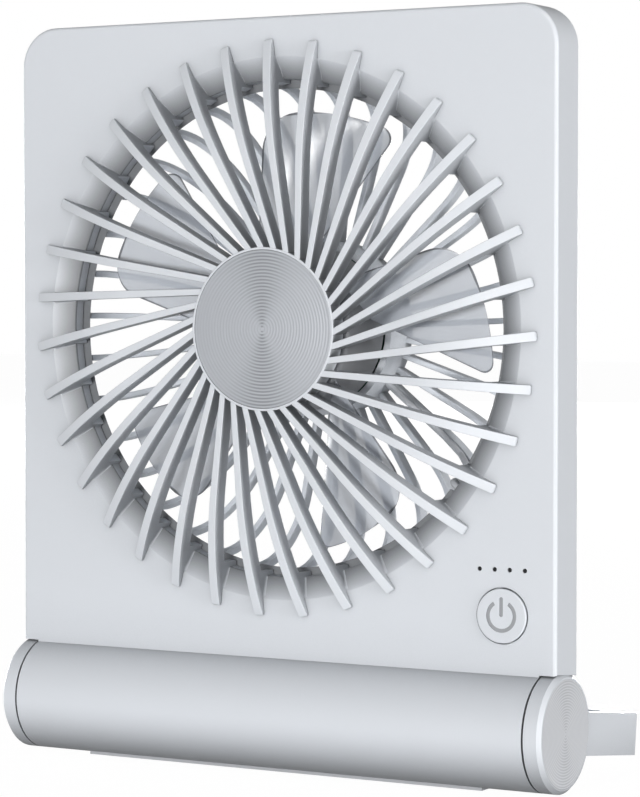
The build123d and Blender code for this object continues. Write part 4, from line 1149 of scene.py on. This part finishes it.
@dataclass
class Impeller:
    """Hub cup with pitched, swept blades.

    Attributes:
        layout: Places of the frame.
        root_span: Depth of a blade's two edges at the hub, behind the hub's front.
        tip_span: The same beyond the tip.
        sweep: How far a blade leans clockwise at its tip.
        tip_shift: Sideways shift of the circle that the tip follows.
        tip_drop: How much smaller that circle is than the tip's radius.
        lead: Radius of the leading corner.
        trail: Radius of the trailing corner.
        side_rim: Columns of a sheet, at each side, that take the edges' painted shade.
        tip_rim: Rows of a sheet, at the tip, that do.
    """

    layout: Layout
    count: int = 5
    phase: float = -3.0
    hub_r: float = 20.0 * MM
    hub_wall: float = 2.2 * MM
    hub_edge: float = 2.0 * MM
    hub_lip: float = 0.2 * MM
    tip_r: float = 55.0 * MM
    root_chord: float = 9.5 * MM
    tip_chord: float = 41.5 * MM
    root_span: tuple[float, float] = (1.6 * MM, 12.4 * MM)
    tip_span: tuple[float, float] = (4.6 * MM, 11.2 * MM)
    sweep: float = 18.0 * MM
    tip_shift: float = 4.0 * MM
    tip_drop: float = 3.0 * MM
    lead: float = 9.0 * MM
    trail: float = 2.8 * MM
    thick: float = 1.4 * MM
    rows: int = 64
    columns: int = 28
    side_rim: int = 2
    tip_rim: int = 8
    corner_steps: int = 16
    tip_steps: int = 40

    def outline(self, low: float) -> tuple[np.ndarray, np.ndarray]:
        """Two sides of the upright blade's outline, each from the hub to the top of the tip.

        A straight edge from p along d meets the tip's circle of radius R about s in a fillet of radius r,
        whose centre c lies on p + r n + t d, with n pointing inwards and |c - s| = R - r.

        Args:
            low: Radius at the root.

        Returns:
            Leading and trailing side, as points (x, z) with z rising.
        """
        middle = np.array([self.tip_shift, 0.0])
        tip_round = self.tip_r - self.tip_drop
        starts, bends, ends = [], [], []
        for side, corner in ((-1, self.lead), (1, self.trail)):
            start = np.array([side * self.root_chord / 2, low])
            along = np.array([self.sweep + side * (self.tip_chord - self.root_chord) / 2, self.tip_r - low])
            along /= np.linalg.norm(along)
            inward = side * np.array([-along[1], along[0]])
            away = start + corner * inward - middle
            reach = math.sqrt((away @ along) ** 2 - away @ away + (tip_round - corner) ** 2) - away @ along
            centre = middle + away + along * reach
            ends.append(math.atan2(*(centre - middle)))
            starts.append(start[None])
            turn = np.linspace(math.atan2(*-inward), ends[-1], self.corner_steps)
            bends.append(centre + corner * clock(turn))
        tip = middle + tip_round * clock(np.linspace(*ends, self.tip_steps)[1:-1])
        whole = np.concatenate([starts[0], bends[0], tip, bends[1][::-1], starts[1]])
        top = whole[:, 1].argmax()
        return whole[:top + 1], whole[top:][::-1]

    def sheets(self, front: float) -> tuple[np.ndarray, np.ndarray]:
        """Front and back sheets of the upright blade.

        P(z, u) runs from the leading side at u = 0 to the trailing side at u = 1 of the outline, with its
        y between the two edges by its share of the chord. The rows close up towards the top, where the
        outline turns level. The sheets lie half a thickness along the normal on each side.

        Args:
            front: Y of the hub's front.

        Returns:
            The two sheets' points, as rows by columns by three, about the fan axis.
        """
        low = self.hub_r - self.hub_wall / 2
        sides = self.outline(low)
        rise = 1 - (1 - np.linspace(0, 1, self.rows, endpoint=False)) ** 2
        z = low + (sides[0][-1, 1] - low) * rise[:, None]
        left, right = (np.interp(z, side[:, 1], side[:, 0]) for side in sides)
        u = np.sin(np.linspace(0, np.pi / 2, self.columns))[None, :] ** 2
        x = left + (right - left) * u
        share = (z - low) / (self.tip_r + self.thick - low)
        chord = self.root_chord + (self.tip_chord - self.root_chord) * share
        slant = (x - self.sweep * share) / chord + 0.5
        edges = [a + (b - a) * share for a, b in zip(self.root_span, self.tip_span)]
        y = front + edges[0] + (edges[1] - edges[0]) * slant
        middle = np.stack([x, y, np.broadcast_to(z, x.shape)], axis=-1)
        normal = np.cross(np.gradient(middle, axis=0), np.gradient(middle, axis=1))
        normal /= np.linalg.norm(normal, axis=-1, keepdims=True) + WELD
        half = self.thick / 2 * normal * np.sign(normal[self.rows // 4, self.columns // 2, 1])
        return middle - half, middle + half

    def build(self, clear: bpy.types.Material, edge: bpy.types.Material, hub: bpy.types.Material) -> None:
        """Make the impeller.

        Args:
            clear: Blade faces.
            edge: Blade edges, where the wall is seen end on, in a darker copy of the blade plastic as painted
                shade.
            hub: Hub cup.
        """
        low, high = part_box("impeller")
        fan = np.array([0, 0, self.layout.fan_z])
        impeller = Sculpt("clear_impeller")
        inner = self.hub_r - self.hub_wall
        floor = low.y + self.hub_wall
        cup = rounded([(0, low.y, 0), (self.hub_r, low.y, self.hub_edge), (self.hub_r, high.y, self.hub_lip),
                       (inner, high.y, self.hub_lip), (inner, floor, 0), (0, floor, 0)], steps=8)
        impeller.turned(cup, fan, finish=2)
        sheets = self.sheets(low.y)
        faces = grid_faces(self.rows, self.columns, False, False)
        rim = np.ones((self.rows - 1, self.columns - 1), dtype=bool)
        rim[:-self.tip_rim, self.side_rim:-self.side_rim] = False
        grid = np.arange(self.rows * self.columns).reshape(self.rows, self.columns)
        ring = np.concatenate([grid[0], grid[1:, -1], grid[-1, -2::-1], grid[-2:0:-1, 0]])
        for number in range(self.count):
            turn = math.radians(self.phase + number * 360 / self.count)
            sine, cosine = math.sin(turn), math.cos(turn)
            spin = np.array([[cosine, 0, sine], [0, 1, 0], [-sine, 0, cosine]])
            posed = [sheet.reshape(-1, 3) @ spin.T + fan for sheet in sheets]
            # Faces near the sheet's sides and tip, and the edge strip, take the darker edge copy: painted
            # shade.
            for sheet in posed:
                impeller.add(sheet, faces[~rim.ravel()], 0)
                impeller.add(sheet, faces[rim.ravel()], 1)
            impeller.strip([posed[0][ring], posed[1][ring]], 1)
        piece = impeller.build([clear, edge, hub], "impeller_rotor", "impeller_plastic", crease=50.0)
        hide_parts("impeller")


@dataclass
class ScrewHeads:
    """Domed screw heads with a cross recess, on the back of the fan.

    Attributes:
        arm: Half width of a recess arm, as a share of the head.
        reach: Length of a recess arm, as a share of the head.
        depth: Depth of the recess.
        taper: Size of the recess at its floor, as a share of its mouth.
        lip: Depth of the recess's mouth under the dome's top.
        tip: Size of the closing loops, as a share of the head.
        dome: Sizes, as shares of the head, and depths of the dome, the head's side and the shank.
        apart: Distance within which points belong to one head.
        level: Depth within which a point counts as the top of a head.
    """

    arm: float = 0.17
    reach: float = 0.58
    depth: float = 0.45 * MM
    taper: float = 0.7
    lip: float = 0.02 * MM
    tip: float = 0.02
    dome: tuple[tuple[float, float], ...] = (
        (0.72, 0.0), (0.92, 0.1 * MM), (1.0, 0.3 * MM), (1.0, 0.6 * MM), (0.48, 0.65 * MM))
    apart: float = 8.0 * MM
    level: float = 0.02 * MM
    sides: int = 96

    def heads(self, node: str) -> list[tuple[float, float, float]]:
        """Centres and radii of a node's heads, from the outermost points of its loose parts.

        Args:
            node: Name of a node of screws that lie along Y.

        Returns:
            One (x, z, radius) for each head.
        """
        mesh = frame["nodes"][node].data
        spots = np.empty(len(mesh.vertices) * 3)
        mesh.vertices.foreach_get("co", spots)
        spots = spots.reshape(-1, 3)
        rear = spots[spots[:, 1] > spots[:, 1].max() - self.level][:, [0, 2]]
        found = []
        while len(rear):
            near = np.linalg.norm(rear - rear[0], axis=1) < self.apart
            low, high = rear[near].min(axis=0), rear[near].max(axis=0)
            found.append((*((low + high) / 2), (high[0] - low[0]) / 2))
            rear = rear[~near]
        return found

    def build(self, node: str, steel: bpy.types.Material, name: str) -> None:
        """Make the heads of one node's screws.

        The recess outline is the largest of two crossed bars at each clock angle.

        Args:
            node: Name of the node.
            steel: Screw metal.
            name: Name of the new piece.
        """
        low, high = (corner.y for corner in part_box(node))
        turn = np.linspace(0, 2 * np.pi, self.sides, endpoint=False)
        along, beside = np.abs(np.cos(turn)) + WELD, np.abs(np.sin(turn)) + WELD
        bar = np.minimum(self.reach / along, self.arm / beside)
        cross_bar = np.minimum(self.reach / beside, self.arm / along)
        recess = np.maximum(bar, cross_bar)
        floor = high - self.depth
        stages = [(self.tip, floor), (self.taper * recess, floor), (recess, high - self.lip)]
        stages += [(size, high - depth) for size, depth in self.dome]
        stages += [(self.dome[-1][0], low), (self.tip, low)]
        screws = Sculpt(name)
        for x, z, radius in self.heads(node):
            screws.strip([np.stack([x + radius * size * np.cos(turn), np.full(self.sides, y),
                                    z + radius * size * np.sin(turn)], axis=1) for size, y in stages])
        piece = screws.build([steel], "fan_body", "steel", crease=30.0)
        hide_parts(node)


@dataclass(frozen=True)
class Lamp:
    """Soft lamp that faces the fan.

    Attributes:
        name: Lamp's name.
        place: Where it stands, in metres.
        width: Its width, in metres.
        energy: Power, in watts.
        height: Its height, in metres.
        aim: Height of the point that it faces, in metres.
    """

    name: str
    place: tuple[float, float, float]
    width: float
    energy: float
    height: float = 0.18
    aim: float = 0.09

    def build(self) -> None:
        """Make the lamp."""
        data = bpy.data.lights.new(self.name, "AREA")
        data.shape = "RECTANGLE"
        data.size, data.size_y = self.width, self.height
        data.energy = self.energy
        lamp = bpy.data.objects.new(self.name, data)
        lamp.location = self.place
        x, y, z = self.place
        rise = math.atan2(self.aim - z, math.hypot(x, y))
        lamp.rotation_euler = (math.pi / 2 + rise, 0, math.atan2(x, -y))
        bpy.context.scene.collection.objects.link(lamp)


@dataclass
class Studio:
    """Camera, floor and soft light.

    Attributes:
        azimuth: Camera's turn to the right of the front, in degrees.
        pitch: How far it looks down, in degrees.
        place: Camera's place, in metres.
        lens: Focal length on the sensor, in millimetres.
        sensor: Sensor height, in millimetres.
        floor_half: Half the floor's side, in metres.
        floor_tone: Floor's grey.
        floor_glow: Strength of the white that the camera sees on the floor.
        floor_share: Share of that white, which leaves the shadow to show.
        glossy_share: Share of the white that reflections see.
        sky: Strength of the sky on the object.
        lamps: The lamps.
    """

    azimuth: float = 29.8
    pitch: float = 2.04
    place: tuple[float, float, float] = (0.3552, -0.6034, 0.1153)
    lens: float = 130.64
    sensor: float = 36.0
    floor_half: float = 4.0
    floor_tone: float = 0.88
    floor_glow: float = 1.05
    floor_share: float = 0.93
    glossy_share: float = 0.4
    sky: float = 0.06
    lamps: tuple[Lamp, ...] = (
        Lamp("key", (0.34, -2.38, 0.1), 1.0, 44.0), Lamp("side", (2.39, -0.25, 0.1), 0.8, 35.0),
        Lamp("rear", (-0.5, 2.33, 0.1), 1.0, 40.0), Lamp("left", (-2.2, 0.95, 0.1), 0.8, 28.0))

    def camera(self) -> None:
        """Make the camera at the photograph's angle."""
        data = bpy.data.cameras.new("camera")
        data.sensor_fit = "VERTICAL"
        data.sensor_height = self.sensor
        data.lens = self.lens
        data.clip_start = 0.01
        camera = bpy.data.objects.new("camera", data)
        camera.location = self.place
        camera.rotation_euler = (math.radians(90 - self.pitch), 0, math.radians(self.azimuth))
        bpy.context.scene.collection.objects.link(camera)
        bpy.context.scene.camera = camera

    def floor(self) -> None:
        """Make the pale floor, white to the camera and still in shadow under the object."""
        half = self.floor_half
        mesh = bpy.data.meshes.new("floor")
        mesh.from_pydata([(-half, -half, 0), (half, -half, 0), (half, half, 0), (-half, half, 0)], [],
                         [(0, 1, 2, 3)])
        material, nodes, shader = blank_material("floor_white")
        nodes.feed(shader, {"Base Color": (self.floor_tone,) * 3 + (1,), "Roughness": 0.9})
        glow = nodes.add("ShaderNodeEmission", {"Color": (1, 1, 1, 1), "Strength": self.floor_glow})
        seen = nodes.math("MULTIPLY", self._seen_directly(nodes), self.floor_share)
        mix = nodes.add("ShaderNodeMixShader", {0: seen, 1: shader.outputs["BSDF"], 2: glow.outputs[0]})
        sink = next(node for node in nodes.tree.nodes if node.type == "OUTPUT_MATERIAL")
        nodes.feed(sink, {"Surface": mix.outputs[0]})
        mesh.materials.append(material)
        floor = bpy.data.objects.new("floor", mesh)
        bpy.context.scene.collection.objects.link(floor)

    def _seen_directly(self, nodes: NodeTree) -> Socket:
        """Share that is one for camera and transmitted rays, and less for glossy ones.

        Args:
            nodes: Tree that asks for it.

        Returns:
            The share.
        """
        path = nodes.add("ShaderNodeLightPath").outputs
        seen = nodes.math("MULTIPLY_ADD", path["Is Glossy Ray"], self.glossy_share, path["Is Camera Ray"])
        total = nodes.add("ShaderNodeMath", {0: seen, 1: path["Is Transmission Ray"]}, operation="ADD",
                          use_clamp=True)
        return total.outputs[0]

    def sky_light(self) -> None:
        """White backdrop to the camera, softer light on the object."""
        world = bpy.data.worlds.new("studio")
        world.use_nodes = True
        bpy.context.scene.world = world
        world.node_tree.nodes.clear()
        nodes = NodeTree(world.node_tree)
        strength = nodes.math("MULTIPLY_ADD", self._seen_directly(nodes), 1 - self.sky, self.sky)
        glow = nodes.add("ShaderNodeBackground", {"Color": (1, 1, 1, 1), "Strength": strength})
        nodes.add("ShaderNodeOutputWorld", {"Surface": glow.outputs[0]})

    def build(self) -> None:
        """Set the stage."""
        bpy.context.scene.view_settings.view_transform = "Standard"
        self.camera()
        self.floor()
        self.sky_light()
        for lamp in self.lamps:
            lamp.build()


class Wardrobe:
    """Every finish of the fan, built once."""

    # The rear ring's finish paints shade on its front face.
    NODE_FINISH = {"power_button": "key", "rear_ring": "lip"}

    def __init__(self, layout: Layout) -> None:
        """Build the finishes, by material slot and by use.

        Args:
            layout: Places of the frame.
        """
        axis = (0, 0, layout.fan_z)
        case = {"tone": (0.722, 0.75, 0.79), "deep": (0.71, 0.737, 0.778), "roughness": 0.46}
        thin_gloss = {"roughness": 0.3, "bump": 0.00001, "coat": 0.4}
        finishes = {
            # Case, mouth and key plastics take painted shade from ambient occlusion in recesses.
            "case_plastic": Moulding("case_plastic", **case, occlusion_shade=0.3),
            # Bell ring: painted shade darkens it towards the throat.
            "mouth": MouthShadePlastic("mouth_painted_shade", **case, occlusion_shade=0.3, centre=axis,
                                  level=layout.front + 2.8 * MM),
            # Rear ring's front face: painted shade leaves a quarter of its colour.
            "lip": MouthShadePlastic("ring_lip_shade", **case, centre=axis, inner=BELL_R, outer=BELL_R + 0.2 * MM,
                                level=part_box("rear_ring")[0].y + 1.35 * MM, shade=0.25),
            # Power key: painted shade on the floor of its sunken symbol.
            "key": EngravedKey("key_plastic", **case, occlusion_shade=0.75, centre=layout.button,
                               level=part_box("power_button")[0].y + 0.15 * MM),
            # Turned faces: painted sheen in the upright sectors and painted shade in the ring grooves.
            "hub_face": TurnedFace("turned_hub", (0.485, 0.505, 0.54), (0.26, 0.27, 0.29), axis, Spin.ALONG_Y,
                                   pitch=0.8 * MM, metallic=0.1, contrast=0.12),
            "turned_metal": TurnedFace("turned_cap", (0.72, 0.735, 0.765), (0.52, 0.53, 0.56),
                                       (0, 0, layout.tube_z), Spin.ALONG_X, pitch=0.65 * MM, metallic=0.15,
                                       contrast=0.5),
            "impeller_plastic": ClearPlastic("clear_blade", (0.6, 0.63, 0.68), (0.57, 0.6, 0.65), 0.6),
            # Blade edges: darker copy of the blade plastic, painted shade where the wall is seen end on.
            "blade_edge_shade": ClearPlastic("clear_blade_edge", (0.22, 0.23, 0.25), (0.19, 0.2, 0.22), 0.85),
            "hub_cup": Moulding("smoky_hub", (0.2, 0.205, 0.215), (0.17, 0.175, 0.185), 0.4),
            "rubber": Moulding("soft_rubber", (0.42, 0.43, 0.45), (0.38, 0.39, 0.41), 0.8, 900.0, 0.00006),
            "steel": BareMetal("plated_steel", (0.66, 0.66, 0.68), (0.5, 0.5, 0.52)),
            "magnet": Moulding("sintered_magnet", (0.05, 0.05, 0.055), (0.035, 0.035, 0.04), 0.6, 1800.0),
            "copper": BareMetal("enamelled_copper", (0.78, 0.4, 0.22), (0.6, 0.27, 0.13), 0.3),
            "board": Moulding("lacquered_board", (0.03, 0.14, 0.08), (0.02, 0.1, 0.06), 0.35, 700.0),
            "smoked": Moulding("smoked_lens", (0.006, 0.006, 0.007), (0.004, 0.004, 0.005), 0.2, 600.0,
                               bump=0.00001, coat=0.5),
            "lamp": Moulding("lamp_resin", (0.85, 0.83, 0.72), (0.8, 0.78, 0.66), grain=600.0, **thin_gloss),
            "black_plastic": Moulding("black_plastic", (0.02, 0.02, 0.022), (0.015, 0.015, 0.017)),
            "cell_wrap": Moulding("cell_wrap", (0.05, 0.13, 0.34), (0.04, 0.11, 0.3), grain=500.0,
                                  **thin_gloss),
            "wire": Moulding("wire_jacket", (0.45, 0.46, 0.48), (0.4, 0.41, 0.43)),
            "nylon": Moulding("natural_nylon", (0.75, 0.73, 0.66), (0.7, 0.68, 0.61)),
        }
        effects = SharedEffects()
        self.finish = {use: finish.material(effects) for use, finish in finishes.items()}

    def dress_nodes(self) -> None:
        """Give every carried-over node its own finish or that of its slot."""
        for row in frame["record"]["subparts"]:
            materials = frame["nodes"][row["node"]].data.materials
            finish = self.finish[self.NODE_FINISH.get(row["node"], row["material_slot"])]
            if not materials:
                materials.append(finish)
            for number in range(len(materials)):
                materials[number] = finish


def main() -> None:
    """Build the scene in order."""
    logging.basicConfig(level=logging.INFO)
    layout = Layout.from_frame()
    wardrobe = Wardrobe(layout)
    wardrobe.dress_nodes()
    finish = wardrobe.finish
    PanelShell(layout).build(finish["case_plastic"])
    FrontGrille(layout).build(finish["case_plastic"], finish["mouth"], finish["hub_face"])
    RearRibs(layout).build(finish["case_plastic"])
    Impeller(layout).build(finish["impeller_plastic"], finish["blade_edge_shade"], finish["hub_cup"])
    for node, name in (("case_screws", "case_screw_heads"), ("grille_screws", "grille_screw_heads")):
        ScrewHeads().build(node, finish["steel"], name)
    Studio().build()


if __name__ == "__main__":
    main()
